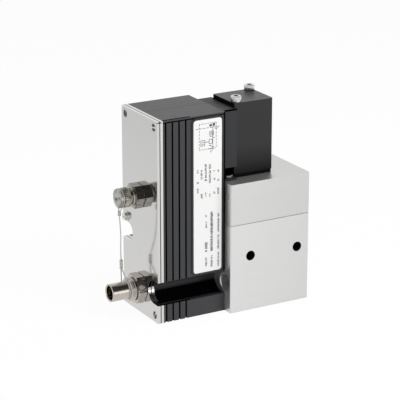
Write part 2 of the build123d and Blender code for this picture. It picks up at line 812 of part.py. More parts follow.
def guide_tube():
    """Thin tube that guides the armature."""
    low = pole_top - pole_step_height
    tube = rod_z(valve_x, valve_y, low, tube_top, pole_radius)
    return tube - rod_z(valve_x, valve_y, low - 1, tube_top + 1, pole_radius - tube_wall)


def armature():
    """Moving core."""
    core = rod_z(valve_x, valve_y, armature_low, armature_top, pole_radius - tube_wall - armature_clearance)
    return core - rod_z(valve_x, valve_y, armature_low - 1, armature_low + rod_grip, rod_radius)


def push_rod():
    """Rod from the armature down to the spool."""
    return rod_z(valve_x, valve_y, spool_top, armature_low + rod_grip, rod_radius)


def end_stop():
    """Plug that closes the guide tube above the armature."""
    radius = pole_radius - tube_wall - tube_clearance
    plug = rod_z(valve_x, valve_y, armature_top + stop_gap, tube_top, radius)
    return plug + rod_z(valve_x, valve_y, tube_top, tube_top + stop_flange, pole_radius)


bobbin_low = solenoid_z0 + bobbin_bottom_gap


def bobbin():
    """Plastic spool that carries the winding."""
    inner = pole_radius + coil_clearance
    low, high = bobbin_low, bobbin_low + coil_height + 2 * bobbin_flange
    form = rod_z(valve_x, valve_y, low, high, inner + bobbin_wall)
    form += rod_z(valve_x, valve_y, low, low + bobbin_flange, bobbin_flange_radius)
    form += rod_z(valve_x, valve_y, high - bobbin_flange, high, bobbin_flange_radius)
    return form - rod_z(valve_x, valve_y, low - 1, high + 1, inner)


def coil():
    """Winding between the bobbin's flanges."""
    low = bobbin_low + bobbin_flange
    ring = rod_z(valve_x, valve_y, low, low + coil_height, coil_radius)
    inner = pole_radius + coil_clearance + bobbin_wall
    return ring - rod_z(valve_x, valve_y, low - 1, low + coil_height + 1, inner)


def solenoid_spacer():
    """Ring between the flange plate and the bobbin, which closes the magnetic circuit."""
    ring = rod_z(valve_x, valve_y, solenoid_z0, bobbin_low, bobbin_flange_radius)
    return ring - rod_z(valve_x, valve_y, solenoid_z0 - 1, bobbin_low + 1, pole_radius + coil_clearance)


def solenoid_screw(x, y):
    """Socket-head screw through the casing into the upper block."""
    head = rod_z(x, y, solenoid_top, solenoid_top + m4_head_height, m4_head_radius)
    head = chamfer(head.edges().filter_by(GeomType.CIRCLE).group_by(Axis.Z)[-1], 0.3)
    shank = rod_z(x, y, block_top - solenoid_screw_grip, solenoid_top, m4_radius)
    socket = Pos(x, y, solenoid_top + m4_head_height / 2) * extrude(
        RegularPolygon(m4_hex / 2, 6, major_radius=False), m4_head_height)
    return head + shank - socket


# Main connector

def main_body():
    """Plated body: barrel, relief for the loop, thread, hexagon and the tail through the cover."""
    y, z = connector_y, main_z
    hexagon = hexagon_x(-main_hex_height, -seal_recess, y, z, main_hex)
    hexagon += rod_x(-seal_recess, 0, y, z, main_hex / 2 - 0.6)
    form = hexagon + rod_x(-main_thread_end, -main_hex_height, y, z, main_thread_radius)
    form += rod_x(-main_reach, -main_thread_end - main_loop_groove, y, z, main_barrel_radius)
    form += rod_x(-main_thread_end - main_loop_groove, -main_thread_end, y, z, main_loop_radius)
    form += rod_x(0, cover_depth + main_tail, y, z, main_tail_radius)
    form -= rod_x(-main_reach - 1, cover_depth + main_tail + 1, y, z, main_bore_radius)
    groove = rod_x(-seal_recess - 1, 0.0, y, z, main_tail_radius + 0.9)
    return form - (groove - rod_x(-seal_recess - 2, 1, y, z, main_tail_radius))


def main_insert():
    """Insulator that carries the pins."""
    return rod_x(-main_floor, cover_depth + main_tail, connector_y, main_z,
                 main_bore_radius - insert_clearance) - main_pin_holes()


def main_pin_places():
    """Pin centres, as (y, z): four on a circle and one in the middle."""
    places = [(connector_y, main_z)]
    for quarter in range(4):
        turn = radians(45 + 90 * quarter)
        places.append((connector_y + main_pin_circle * cos(turn), main_z + main_pin_circle * sin(turn)))
    return places


def main_pin_holes():
    holes = Part()
    for y, z in main_pin_places():
        holes += rod_x(-main_floor - 1, cover_depth + main_tail + 1, y, z, main_pin_radius)
    return holes


def main_pin(y, z):
    pin = rod_x(-main_reach + main_pin_gap, connector_board_gap, y, z, main_pin_radius)
    return chamfer(pin.edges().filter_by(GeomType.CIRCLE).group_by(Axis.X)[0], main_pin_radius * 0.4)


def lock_nut(z, tail_radius, height, across):
    """Flat hexagonal nut on a connector's tail, inside the cover."""
    nut = hexagon_x(cover_sheet, cover_sheet + height, connector_y, z, across)
    return nut - rod_x(0, cover_sheet + height + 1, connector_y, z, tail_radius)


def face_seal(z, radius):
    """O-ring in the recess under a connector's hexagon."""
    section = 0.4
    return Pos(-section, connector_y, z) * Rot(0, 90, 0) * Torus(radius + section, section)


# Service connector and cap

def service_body():
    """Dark body with its hexagon, neck, threaded socket and tail."""
    y, z = connector_y, service_z
    form = hexagon_x(-service_hex_height, -seal_recess, y, z, service_hex)
    form += rod_x(-seal_recess, 0, y, z, service_hex / 2 - 0.6)
    form += rod_x(-service_neck_end, -service_hex_height, y, z, service_neck_radius)
    form += rod_x(-service_reach, -service_neck_end, y, z, service_thread_radius)
    form += rod_x(0, cover_depth + service_tail, y, z, service_tail_radius)
    form -= rod_x(-service_reach - 1, cover_depth + service_tail + 1, y, z, service_bore_radius)
    groove = rod_x(-seal_recess - 1, 0.0, y, z, service_tail_radius + 0.9)
    return form - (groove - rod_x(-seal_recess - 2, 1, y, z, service_tail_radius))


def service_collar():
    """Bright ring on the neck, against the hexagon."""
    x0, x1 = -service_hex_height - collar_height, -service_hex_height
    ring = rod_x(x0, x1, connector_y, service_z, collar_radius)
    ring = chamfer(ring.edges().filter_by(GeomType.CIRCLE).group_by(Axis.X)[0], 0.3)
    return ring - rod_x(x0 - 1, x1 + 1, connector_y, service_z, service_neck_radius)


def service_pin_places():
    places = []
    for quarter in range(service_pin_count):
        turn = radians(360 / service_pin_count * (quarter + 0.5))
        places.append((connector_y + service_pin_circle * cos(turn),
                       service_z + service_pin_circle * sin(turn)))
    return places


def service_insert():
    """Insulator of the service connector."""
    form = rod_x(-service_floor, cover_depth + service_tail, connector_y, service_z,
                 service_bore_radius - insert_clearance)
    for y, z in service_pin_places():
        form -= rod_x(-service_floor - 1, cover_depth + service_tail + 1, y, z, service_pin_radius)
    return form


def service_pin(y, z):
    return rod_x(-service_reach + 3, connector_board_gap, y, z, service_pin_radius)


def service_cap():
    """Knurled protective cap with a groove for the lanyard and a screwed bore."""
    y, z = connector_y, service_z
    disc_x = -cap_reach + cap_disc_sheet
    skirt = rod_x(-cap_groove_start, -cap_skirt_start, y, z, cap_radius)
    for index in range(cap_knurls):
        turn = radians(360 / cap_knurls * index)
        knurl_y, knurl_z = y + cap_radius * cos(turn), z + cap_radius * sin(turn)
        skirt -= rod_x(-cap_groove_start - 1, -cap_skirt_start - cap_plain, knurl_y, knurl_z,
                       cap_knurl_radius)
    core = rod_x(-cap_groove_start - cap_groove_width, -cap_groove_start, y, z, cap_groove_radius)
    head = rod_x(disc_x, -cap_groove_start - cap_groove_width, y, z, cap_radius)
    bore = rod_x(-service_reach - 0.4, 0, y, z, service_thread_radius + cap_bore_clearance)
    return skirt + core + head - bore


def cap_disc():
    """Light end disc of the cap, with two blind spanner holes."""
    y, z = connector_y, service_z
    disc = rod_x(-cap_reach, -cap_reach + cap_disc_sheet, y, z, cap_radius)
    disc = fillet(disc.edges().filter_by(GeomType.CIRCLE).group_by(Axis.X)[0], 0.4)
    for side in (-1, 1):
        turn = radians(cap_hole_turn)
        hole_y = y + side * cap_hole_offset * cos(turn)
        hole_z = z - side * cap_hole_offset * sin(turn)
        disc -= rod_x(-cap_reach - 1, -cap_reach + 0.6 * cap_disc_sheet, hole_y, hole_z, cap_hole_radius)
    return disc


# Lanyard

def cord_loop(x, centre_z, ring_radius, crimp_y, crimp_z):
    """Loop of cord round a neck: two straight strands from the crimp, tangent to one arc."""
    heading = atan2(crimp_z - centre_z, crimp_y - connector_y)
    side_y, side_z = -sin(heading), cos(heading)
    offset = cord_radius + 0.05
    points = []
    for side in (1, -1):
        start = (crimp_y + side * offset * side_y, crimp_z + side * offset * side_z)
        span_y, span_z = start[0] - connector_y, start[1] - centre_z
        span = sqrt(span_y ** 2 + span_z ** 2)
        tangent = atan2(span_z, span_y) + side * acos(ring_radius / span)
        touch = (connector_y + ring_radius * cos(tangent), centre_z + ring_radius * sin(tangent))
        points.append((start, touch))
    far = (connector_y - ring_radius * cos(heading), centre_z - ring_radius * sin(heading))
    (start_a, touch_a), (start_b, touch_b) = points
    strand_a = Line((x, *start_a), (x, *touch_a))
    bend = ThreePointArc((x, *touch_a), (x, *far), (x, *touch_b))
    strand_b = Line((x, *touch_b), (x, *start_b))
    path = Wire([strand_a, bend, strand_b])
    section = Plane(path @ 0, z_dir=path % 0) * Circle(cord_radius)
    return sweep(section, path)


cord_x_top = -(cap_groove_start + cap_groove_width / 2)
cord_x_low = -(main_thread_end + loop_play + cord_radius)
upper_crimp_z = service_z - upper_crimp_drop


def lanyard_upper_loop():
    """Loop in the cap's groove, with its crimp."""
    ring = cap_groove_radius + cord_radius + cord_gap
    loop = cord_loop(cord_x_top, service_z, ring, upper_crimp_y, upper_crimp_z)
    return loop + rod_z(cord_x_top, upper_crimp_y, upper_crimp_z - upper_crimp_length, upper_crimp_z,
                        crimp_radius)


def lanyard_lower_loop():
    """Loop round the main connector, seated in the relief behind its barrel."""
    ring = main_loop_radius + cord_radius
    return cord_loop(cord_x_low, main_z, ring, lower_crimp_y, lower_crimp_z)


def lanyard_crimp():
    """Crimp sleeve over the lower loop's strands."""
    low = lower_crimp_z + cord_radius
    return rod_z(cord_x_low, lower_crimp_y, low, lower_crimp_z + crimp_length, crimp_radius)


def lanyard_cord():
    """Cord from the upper crimp down to the lower one, in a slack bow."""
    top = (cord_x_top, upper_crimp_y, upper_crimp_z - upper_crimp_length)
    low = (cord_x_low, lower_crimp_y, lower_crimp_z + crimp_length)
    route = [top, *cord_places, low]
    radii = []
    for before, corner, after in zip(route, route[1:], route[2:]):
        run_in = Vector(*corner) - Vector(*before)
        run_out = Vector(*after) - Vector(*corner)
        turn = radians(run_in.get_angle(run_out))
        radii.append(cord_bend_share * min(run_in.length, run_out.length) / (sin(turn / 2) / cos(turn / 2)))
    print("cord radii", [round(radius, 1) for radius in radii])
    path = FilletPolyline(*route, radius=radii)
    section = Plane(path @ 0, z_dir=path % 0) * Circle(cord_radius)
    return sweep(section, path)


# Electronics

def connector_board():
    """Small board behind the cover, where both connectors end."""
    x0 = connector_board_gap
    y0 = front_channel_depth + wall + connector_board_clearance
    y1 = housing_depth - rear_channel_depth - wall - connector_board_clearance
    return block(x0, x0 + connector_board_sheet, y0, y1, main_z - connector_board_low,
                 service_z + connector_board_high)


def circuit_board():
    """Main board on the rear shell's posts."""
    board = block(board_x0, board_x0 + board_width, board_y, board_y + board_sheet, board_z0, board_z1)
    for x, z in board_screw_places():
        board -= rod_y(x, board_y - 1, board_y + board_sheet + 1, z, board_screw_radius)
    return board


def board_screw(x, z):
    head = rod_y(x, board_y - board_screw_head_height, board_y, z, board_screw_head_radius)
    return head + rod_y(x, board_y, board_y + board_screw_length - 1, z, board_screw_radius)


def board_header():
    """Pin header between the connector board and the main board."""
    x0 = connector_board_gap + connector_board_sheet
    return block(x0, board_x0, board_y - header_side, board_y + board_sheet, board_z0 + header_low,
                 board_z0 + header_low + header_height)


def capacitor():
    return rod_y(board_x0 + part_x, board_y - capacitor_height, board_y, board_z0 + capacitor_low,
                 capacitor_radius)


def microcontroller():
    x, half = board_x0 + part_x, chip_side / 2
    z = (board_z0 + capacitor_low + board_z1 - transistor_high) / 2
    return block(x - half, x + half, board_y - chip_height, board_y, z - half, z + half)


def power_transistor():
    x, z, half = board_x0 + part_x, board_z1 - transistor_high, transistor_side / 2
    return block(x - half, x + half, board_y - transistor_height, board_y, z - half, z + half)


def pressure_sensor():
    """Sensor can inside the housing, with its nipple in the upper block."""
    x1 = housing_end - wall
    can = rod_x(x1 - sensor_length, x1, connector_y, sensor_z, sensor_radius)
    nipple = rod_x(x1, block_x0 + sensor_nipple_reach, connector_y, sensor_z, sensor_nipple_radius)
    groove_x = block_x0 + sensor_nipple_reach / 2
    groove = rod_x(groove_x - 0.8, groove_x + 0.8, connector_y, sensor_z, sensor_nipple_radius + 1)
    groove -= rod_x(groove_x - 1, groove_x + 1, connector_y, sensor_z,
                    sensor_nipple_radius - 1.6 * sensor_seal_section)
    tap = rod_x(x1, block_x0 + sensor_nipple_reach + 1, connector_y, sensor_z, 0.8)
    return can + nipple - groove - tap


def sensor_seal():
    x = block_x0 + sensor_nipple_reach / 2
    major = sensor_nipple_radius - 0.75 * sensor_seal_section
    return Pos(x, connector_y, sensor_z) * Rot(0, 90, 0) * Torus(major, 0.8 * sensor_seal_section)


def coil_contact(side):
    """Flat strip from the main board through the neck to the coil."""
    y = contact_y + side * contact_spacing / 2
    x0, x1 = board_x0 + board_width - 6 + 2 * side, valve_x - coil_radius - 0.2
    y0 = board_y + board_sheet
    strip = block(x0, x1, y - contact_sheet / 2, y + contact_sheet / 2,
                  contact_z - contact_width / 2, contact_z + contact_width / 2)
    foot = block(x0, x0 + 1.5, y0, y + contact_sheet / 2, contact_z - contact_width / 2,
                 contact_z + contact_width / 2)
    return strip + foot


front_shell, rear_shell = housing_shells()

pieces = {
    "housing_front": front_shell,
    "housing_rear": rear_shell,
    "shell_screws": [shell_screw(x, z) for x, z in shell_screw_places()],
    "end_cover": end_cover(),
    "cover_gasket": cover_gasket(),
    "cover_frame": cover_frame(),
    "cover_screws": [cover_screw(y, z) for y, z in cover_screw_places()],
    "earth_screw": earth_screw(),
    "earth_washer": earth_washer(),
    "label_carrier": label_carrier(),
    "label_plate": label_plate(),
    "lower_block": lower_block(),
    "upper_block": upper_block(),
    "block_gasket": block_gasket(),
    "block_screws_top": [block_screw_top(x, y) for x, y in top_screw_places()],
    "block_screws_bottom": [block_screw_bottom(x, y) for x, y in bottom_screw_places()],
    "valve_sleeve": valve_sleeve(),
    "sleeve_seals": [sleeve_seal(z) for z in seal_heights],
    "spring_seat": spring_seat(),
    "return_spring": return_spring(),
    "spool": spool(),
    "solenoid_casing": solenoid_casing(),
    "solenoid_flange": solenoid_flange(),
    "solenoid_spacer": solenoid_spacer(),
    "solenoid_screws": [solenoid_screw(x, y) for x, y in solenoid_screw_places()],
    "pole_piece": pole_piece(),
    "guide_tube": guide_tube(),
    "armature": armature(),
    "push_rod": push_rod(),
    "end_stop": end_stop(),
    "bobbin": bobbin(),
    "coil": coil(),
    "main_connector_body": main_body(),
    "main_connector_insert": main_insert(),
    "main_connector_pins": [main_pin(y, z) for y, z in main_pin_places()],
    "main_connector_nut": lock_nut(main_z, main_tail_radius, main_nut_height, main_nut_across),
    "main_connector_seal": face_seal(main_z, main_tail_radius),
    "service_connector_body": service_body(),
    "service_collar": service_collar(),
    "service_connector_insert": service_insert(),
    "service_connector_pins": [service_pin(y, z) for y, z in service_pin_places()],
    "service_connector_nut": lock_nut(service_z, service_tail_radius, service_nut_height,
                                      service_nut_across),
    "service_connector_seal": face_seal(service_z, service_tail_radius),
    "service_cap": service_cap(),
    "cap_disc": cap_disc(),
    "lanyard_upper_loop": lanyard_upper_loop(),
    "lanyard_cord": lanyard_cord(),
    "lanyard_crimp": lanyard_crimp(),
    "lanyard_lower_loop": lanyard_lower_loop(),
    "connector_board": connector_board(),
    "circuit_board": circuit_board(),
    "board_screws": [board_screw(x, z) for x, z in board_screw_places()],
    "board_header": board_header(),
    "capacitor": capacitor(),
    "microcontroller": microcontroller(),
    "power_transistor": power_transistor(),
    "pressure_sensor": pressure_sensor(),
    "sensor_seal": sensor_seal(),
    "coil_contacts": [coil_contact(side) for side in (-1, 1)],
}

os.makedirs("parts", exist_ok=True)
to_origin = Pos(-origin[0], -origin[1], -origin[2])
for node, shape in pieces.items():
    if isinstance(shape, list):
        shape = Compound(children=[to_origin * item for item in shape])
    else:
        shape = to_origin * shape
    export_step(shape, f"parts/{node}.step")
print("pieces", len(pieces))
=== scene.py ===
import logging
from dataclasses import dataclass
from enum import Enum
from math import acos, atan2, cos, pi, radians, sin

import bmesh
import bpy
import numpy as np
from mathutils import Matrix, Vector

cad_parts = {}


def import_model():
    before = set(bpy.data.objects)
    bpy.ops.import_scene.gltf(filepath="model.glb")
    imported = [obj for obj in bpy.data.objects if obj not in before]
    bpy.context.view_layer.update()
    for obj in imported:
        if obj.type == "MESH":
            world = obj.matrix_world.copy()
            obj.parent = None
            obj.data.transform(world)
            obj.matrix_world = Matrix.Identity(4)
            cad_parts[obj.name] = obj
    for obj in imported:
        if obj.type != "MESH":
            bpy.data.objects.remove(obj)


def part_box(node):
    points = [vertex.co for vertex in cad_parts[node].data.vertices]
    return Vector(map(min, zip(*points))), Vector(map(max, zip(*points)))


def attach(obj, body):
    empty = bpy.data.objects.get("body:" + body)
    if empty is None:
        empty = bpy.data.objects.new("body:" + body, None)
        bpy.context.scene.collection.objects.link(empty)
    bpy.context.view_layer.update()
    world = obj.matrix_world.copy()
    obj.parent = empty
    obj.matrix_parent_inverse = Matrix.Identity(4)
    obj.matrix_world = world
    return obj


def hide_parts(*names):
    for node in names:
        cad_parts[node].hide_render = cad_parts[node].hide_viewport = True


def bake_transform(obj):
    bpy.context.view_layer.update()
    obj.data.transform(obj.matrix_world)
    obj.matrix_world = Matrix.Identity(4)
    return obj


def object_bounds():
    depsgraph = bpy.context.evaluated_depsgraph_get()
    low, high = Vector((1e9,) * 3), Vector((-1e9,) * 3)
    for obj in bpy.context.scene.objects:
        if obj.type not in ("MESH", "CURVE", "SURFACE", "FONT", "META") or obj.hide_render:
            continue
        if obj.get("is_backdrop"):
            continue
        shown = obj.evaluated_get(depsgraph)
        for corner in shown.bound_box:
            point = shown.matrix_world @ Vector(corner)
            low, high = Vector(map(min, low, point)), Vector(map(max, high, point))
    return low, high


log = logging.getLogger("pressure_valve")
MM = 0.001
Colour = tuple[float, float, float]
Point = tuple[float, float, float]


@dataclass(frozen=True)
class HolePair:
    """Two holes side by side at the origin, along Y."""

    spacing: float
    radius: float


@dataclass(frozen=True)
class ShellMarks:
    """Where the moulded shell is in deep shade: its flutes, its lip's groove, its channel and the strip
    beside the label. The neck beyond the shell's end is darker than the rest."""

    front: float = -48.0 * MM
    flutes_end: float = -58.5 * MM
    flute_shade: float = 0.35 * MM
    lip_low: float = 96.2 * MM
    lip_high: float = 97.05 * MM
    strip_start: float = -34.4 * MM
    strip_low: float = -9.8 * MM
    end: float = -33.0 * MM
    channel_z: float = -17.9 * MM
    channel_radius: float = 8.0 * MM
    channel_shade: float = 3.4 * MM
    neck_edge: float = 96.9 * MM
    neck_front: float = -44.8 * MM
    parting: float = -23.0 * MM
    top: float = 97.9 * MM


PANEL_HOLES = HolePair(spacing=36 * MM, radius=3.3 * MM)
MARKS = ShellMarks()


class Value:
    """One socket of a shader tree. Arithmetic on it adds Math nodes."""

    def __init__(self, graph: "Tree", socket: bpy.types.NodeSocket) -> None:
        """Hold a socket and the tree that it belongs to."""
        self.graph = graph
        self.socket = socket

    def math(self, operation: str, *others: object, clamp: bool = False) -> "Value":
        """Add a Math node on this value.

        Args:
            operation: Name of the Math node's operation.
            others: The further operands, values or numbers.
            clamp: Whether the result is kept from 0 to 1.

        Returns:
            The node's result.
        """
        inputs = {index: value for index, value in enumerate((self, *others))}
        return self.graph.node("ShaderNodeMath", {"operation": operation, "use_clamp": clamp}, inputs)

    def _reflected(self, operation: str, other: float) -> "Value":
        """Add a Math node whose first operand is a number."""
        return self.graph.node("ShaderNodeMath", {"operation": operation}, {0: other, 1: self})

    def __add__(self, other: object) -> "Value":
        """Return this plus other."""
        return self.math("ADD", other)

    def __radd__(self, other: float) -> "Value":
        """Return other plus this."""
        return self._reflected("ADD", other)

    def __sub__(self, other: object) -> "Value":
        """Return this minus other."""
        return self.math("SUBTRACT", other)

    def __rsub__(self, other: float) -> "Value":
        """Return other minus this."""
        return self._reflected("SUBTRACT", other)

    def __mul__(self, other: object) -> "Value":
        """Return this times other."""
        return self.math("MULTIPLY", other)

    def __rmul__(self, other: float) -> "Value":
        """Return other times this."""
        return self._reflected("MULTIPLY", other)

    def __truediv__(self, other: object) -> "Value":
        """Return this divided by other."""
        return self.math("DIVIDE", other)

    def __pow__(self, other: object) -> "Value":
        """Return this to the power other."""
        return self.math("POWER", other)

    def above(self, edge: float, soft: float) -> "Value":
        """Return a mask that rises from 0 to 1 over a soft step at an edge."""
        return ((self - (edge - soft)) * (0.5 / soft)).math("ADD", 0.0, clamp=True)

    def between(self, low: float, high: float, soft: float) -> "Value":
        """Return a mask that is 1 from one edge to the other."""
        return self.above(low, soft) * (1.0 - self.above(high, soft))


class Tree:
    """Node tree that values and nodes are added to."""

    def __init__(self, tree: bpy.types.NodeTree) -> None:
        """Hold the tree."""
        self.tree = tree

    def feed(self, socket: bpy.types.NodeSocket, value: object) -> None:
        """Link a value to a socket, or set a plain number or colour on it."""
        if isinstance(value, Value):
            self.tree.links.new(value.socket, socket)
        elif isinstance(value, tuple) and len(value) == 3 and socket.type == "RGBA":
            socket.default_value = (*value, 1.0)
        else:
            socket.default_value = value

    def node(self, kind: str, settings: dict | None = None, inputs: dict | None = None,
             result: int | str = 0) -> Value:
        """Add a node of any type.

        Args:
            kind: The node's type.
            settings: Its settings, set first; stops is the list of a ramp's places and colours.
            inputs: Values, numbers or colours by socket name or index.
            result: Name or index of the output to return.

        Returns:
            The chosen output.
        """
        made = self.tree.nodes.new(kind)
        for key, setting in (settings or {}).items():
            if key == "stops":
                ramp = made.color_ramp
                while len(ramp.elements) < len(setting):
                    ramp.elements.new(1.0)
                for element, (place, colour) in zip(ramp.elements, setting):
                    element.position, element.color = place, (*colour, 1.0)
            else:
                setattr(made, key, setting)
        for key, value in (inputs or {}).items():
            self.feed(made.inputs[key], value)
        return Value(self, made.outputs[result])

    def place(self, stretch: Point = (1.0, 1.0, 1.0)) -> Value:
        """Return the object coordinates, stretched along the axes."""
        coordinates = self.node("ShaderNodeTexCoord", result="Object")
        return self.node("ShaderNodeMapping", {"vector_type": "POINT"},
                         {"Vector": coordinates, "Scale": stretch})

    def axes(self) -> tuple[Value, Value, Value]:
        """Return the object coordinates one by one."""
        split = self.node("ShaderNodeSeparateXYZ", {}, {0: self.place()})
        return tuple(Value(self, output) for output in split.socket.node.outputs)

    def noise(self, size_mm: float, detail: float = 2.0, stretch: Point = (1.0, 1.0, 1.0),
              place: Value | None = None) -> Value:
        """Return noise from 0 to 1 whose grains are about as large as given."""
        vector = place or self.place(stretch)
        return self.node("ShaderNodeTexNoise", {"noise_dimensions": "3D"},
                         {"Vector": vector, "Scale": 1.0 / (size_mm * MM), "Detail": detail})

    def mix(self, factor: object, first: object, second: object) -> Value:
        """Return a blend of two colours."""
        return self.node("ShaderNodeMix", {"data_type": "RGBA"}, {0: factor, 6: first, 7: second}, 2)


class Graph(Tree):
    """Shader tree of one material, with one Principled shader on its surface."""

    def __init__(self, name: str) -> None:
        """Make the material and its shader.

        Args:
            name: The material's name.
        """
        self.material = bpy.data.materials.new(name)
        self.material.use_nodes = True
        super().__init__(self.material.node_tree)
        self.tree.nodes.clear()
        self.output = self.tree.nodes.new("ShaderNodeOutputMaterial")
        self.shader = self.tree.nodes.new("ShaderNodeBsdfPrincipled")
        self.tree.links.new(self.shader.outputs[0], self.output.inputs["Surface"])

    def bump(self, height: Value, depth_mm: float, strength: float = 1.0) -> Value:
        """Return a normal that follows a height from 0 to 1 of the depth given."""
        return self.node("ShaderNodeBump", {}, {"Height": height, "Distance": depth_mm * MM,
                                                "Strength": strength})

    def cover(self, factor: object, second: Value) -> None:
        """Mix a second shader over the first where the factor is 1."""
        blend = self.node("ShaderNodeMixShader", {}, {0: factor, 2: second})
        self.tree.links.new(self.shader.outputs[0], blend.socket.node.inputs[1])
        self.tree.links.new(blend.socket, self.output.inputs["Surface"])

    def black(self, factor: object) -> None:
        """Cover the places that no light reaches with a black that has no gloss."""
        level = (0.0015, 0.0015, 0.0015)
        self.cover(factor, self.node("ShaderNodeBsdfPrincipled", {}, {
            "Base Color": level, "Roughness": 0.9, "Specular IOR Level": 0.0}))

    def set(self, **values: object) -> None:
        """Feed the Principled shader's sockets, named with underscores for spaces."""
        for name, value in values.items():
            self.feed(self.shader.inputs[name.replace("_", " ")], value)


@dataclass(frozen=True)
class Finish:
    """Plain finish: a colour that varies a little, a fine grain and uneven gloss."""

    name: str
    colour: Colour
    roughness: float = 0.5
    metallic: float = 0.0
    mottle: float = 0.08
    mottle_mm: float = 9.0
    grain_mm: float = 0.35
    grain_depth_mm: float = 0.012
    uneven: float = 0.08
    specular: float = 0.5
    coat: float = 0.0

    def shaded(self, amount: float) -> Colour:
        """Return the colour lightened or darkened by a share."""
        return tuple(min(1.0, max(0.0, part * (1.0 + amount))) for part in self.colour)

    def build(self) -> bpy.types.Material:
        """Make the material.

        Returns:
            The material, with colour, gloss and grain from noise on the object's own place.
        """
        graph = Graph(self.name)
        cloud = graph.noise(self.mottle_mm, 3.0)
        grain = graph.noise(self.grain_mm, 2.0)
        colour = graph.mix(cloud, self.shaded(-self.mottle), self.shaded(self.mottle))
        roughness = self.roughness + (cloud - 0.5) * self.uneven + (grain - 0.5) * (0.5 * self.uneven)
        graph.set(Base_Color=colour, Roughness=roughness, Metallic=self.metallic,
                  Specular_IOR_Level=self.specular, Coat_Weight=self.coat,
                  Normal=graph.bump(grain, self.grain_depth_mm))
        self.detail(graph)
        return graph.material

    def detail(self, graph: Graph) -> None:
        """Add what a special finish has beyond the plain one."""


@dataclass(frozen=True)
class PolishedSheet(Finish):
    """Bright rolled sheet: sharp reflections with faint vertical rolling lines and light wipes."""

    line_mm: float = 0.25

    def detail(self, graph: Graph) -> None:
        """Draw the noise out along Z, as the rolling left it."""
        lines = graph.noise(self.line_mm, 3.0, (1.0, 1.0, 0.02))
        wipes = graph.noise(14.0, 2.0, (1.0, 1.0, 0.5))
        graph.set(Roughness=self.roughness + lines * 0.03 + wipes.above(0.58, 0.1) * 0.03,
                  Base_Color=graph.mix(lines * 0.5 + wipes * 0.5, self.shaded(-0.05), self.shaded(0.04)),
                  Normal=graph.bump(lines, 0.0006))


@dataclass(frozen=True)
class AnodisedBlock(Finish):
    """Matt anodised aluminium: a fine satin over faint milling passes, with a few soft rubs; painted shade darkens
    it towards the right and inside the panel holes.
    """

    pass_mm: float = 1.6
    # colour of the painted shade inside the panel holes
    bore: float = 0.02
    # share of the painted shade towards the right
    shade_to_right: float = 0.16

    def inside(self, graph: Graph) -> Value:
        """Return a mask that is 1 inside the two panel holes, by the distance from each hole's axis, where the
        holes get painted shade.
        """
        across, _, up = graph.axes()
        reach = ((across.math("ABSOLUTE") - PANEL_HOLES.spacing / 2) ** 2.0 + up ** 2.0).math("SQRT")
        return 1.0 - reach.above(PANEL_HOLES.radius + 0.05 * MM, 0.03 * MM)

    def detail(self, graph: Graph) -> None:
        """Lay the milling passes along X, keep the rubs soft, darken the colour a little towards the right as
        painted shade and paint the panel holes dark inside as painted shade."""
        passes = graph.noise(self.pass_mm, 1.0, (0.03, 1.0, 1.0))
        satin = graph.noise(self.grain_mm, 2.0)
        rubs = graph.noise(16.0, 4.0).above(0.62, 0.08)
        colour = graph.mix(passes * 0.6 + satin * 0.4, self.shaded(-0.035), self.shaded(0.03))
        rubbed = graph.mix(rubs * 0.2, colour, self.shaded(-0.05))
        # painted shade: the colour darkens towards the right
        along = graph.axes()[0].above(-3.0 * MM, 30.0 * MM)
        shaded_to_right = graph.mix(along * self.shade_to_right, rubbed, (0.3, 0.3, 0.3))
        # painted shade: the panel holes are dark inside
        dark = (self.bore, self.bore, self.bore)
        graph.set(Base_Color=graph.mix(self.inside(graph), shaded_to_right, dark),
                  Roughness=self.roughness + (satin - 0.5) * 0.06 - rubs * 0.02,
                  Normal=graph.bump(satin * 0.7 + passes * 0.3, self.grain_depth_mm))


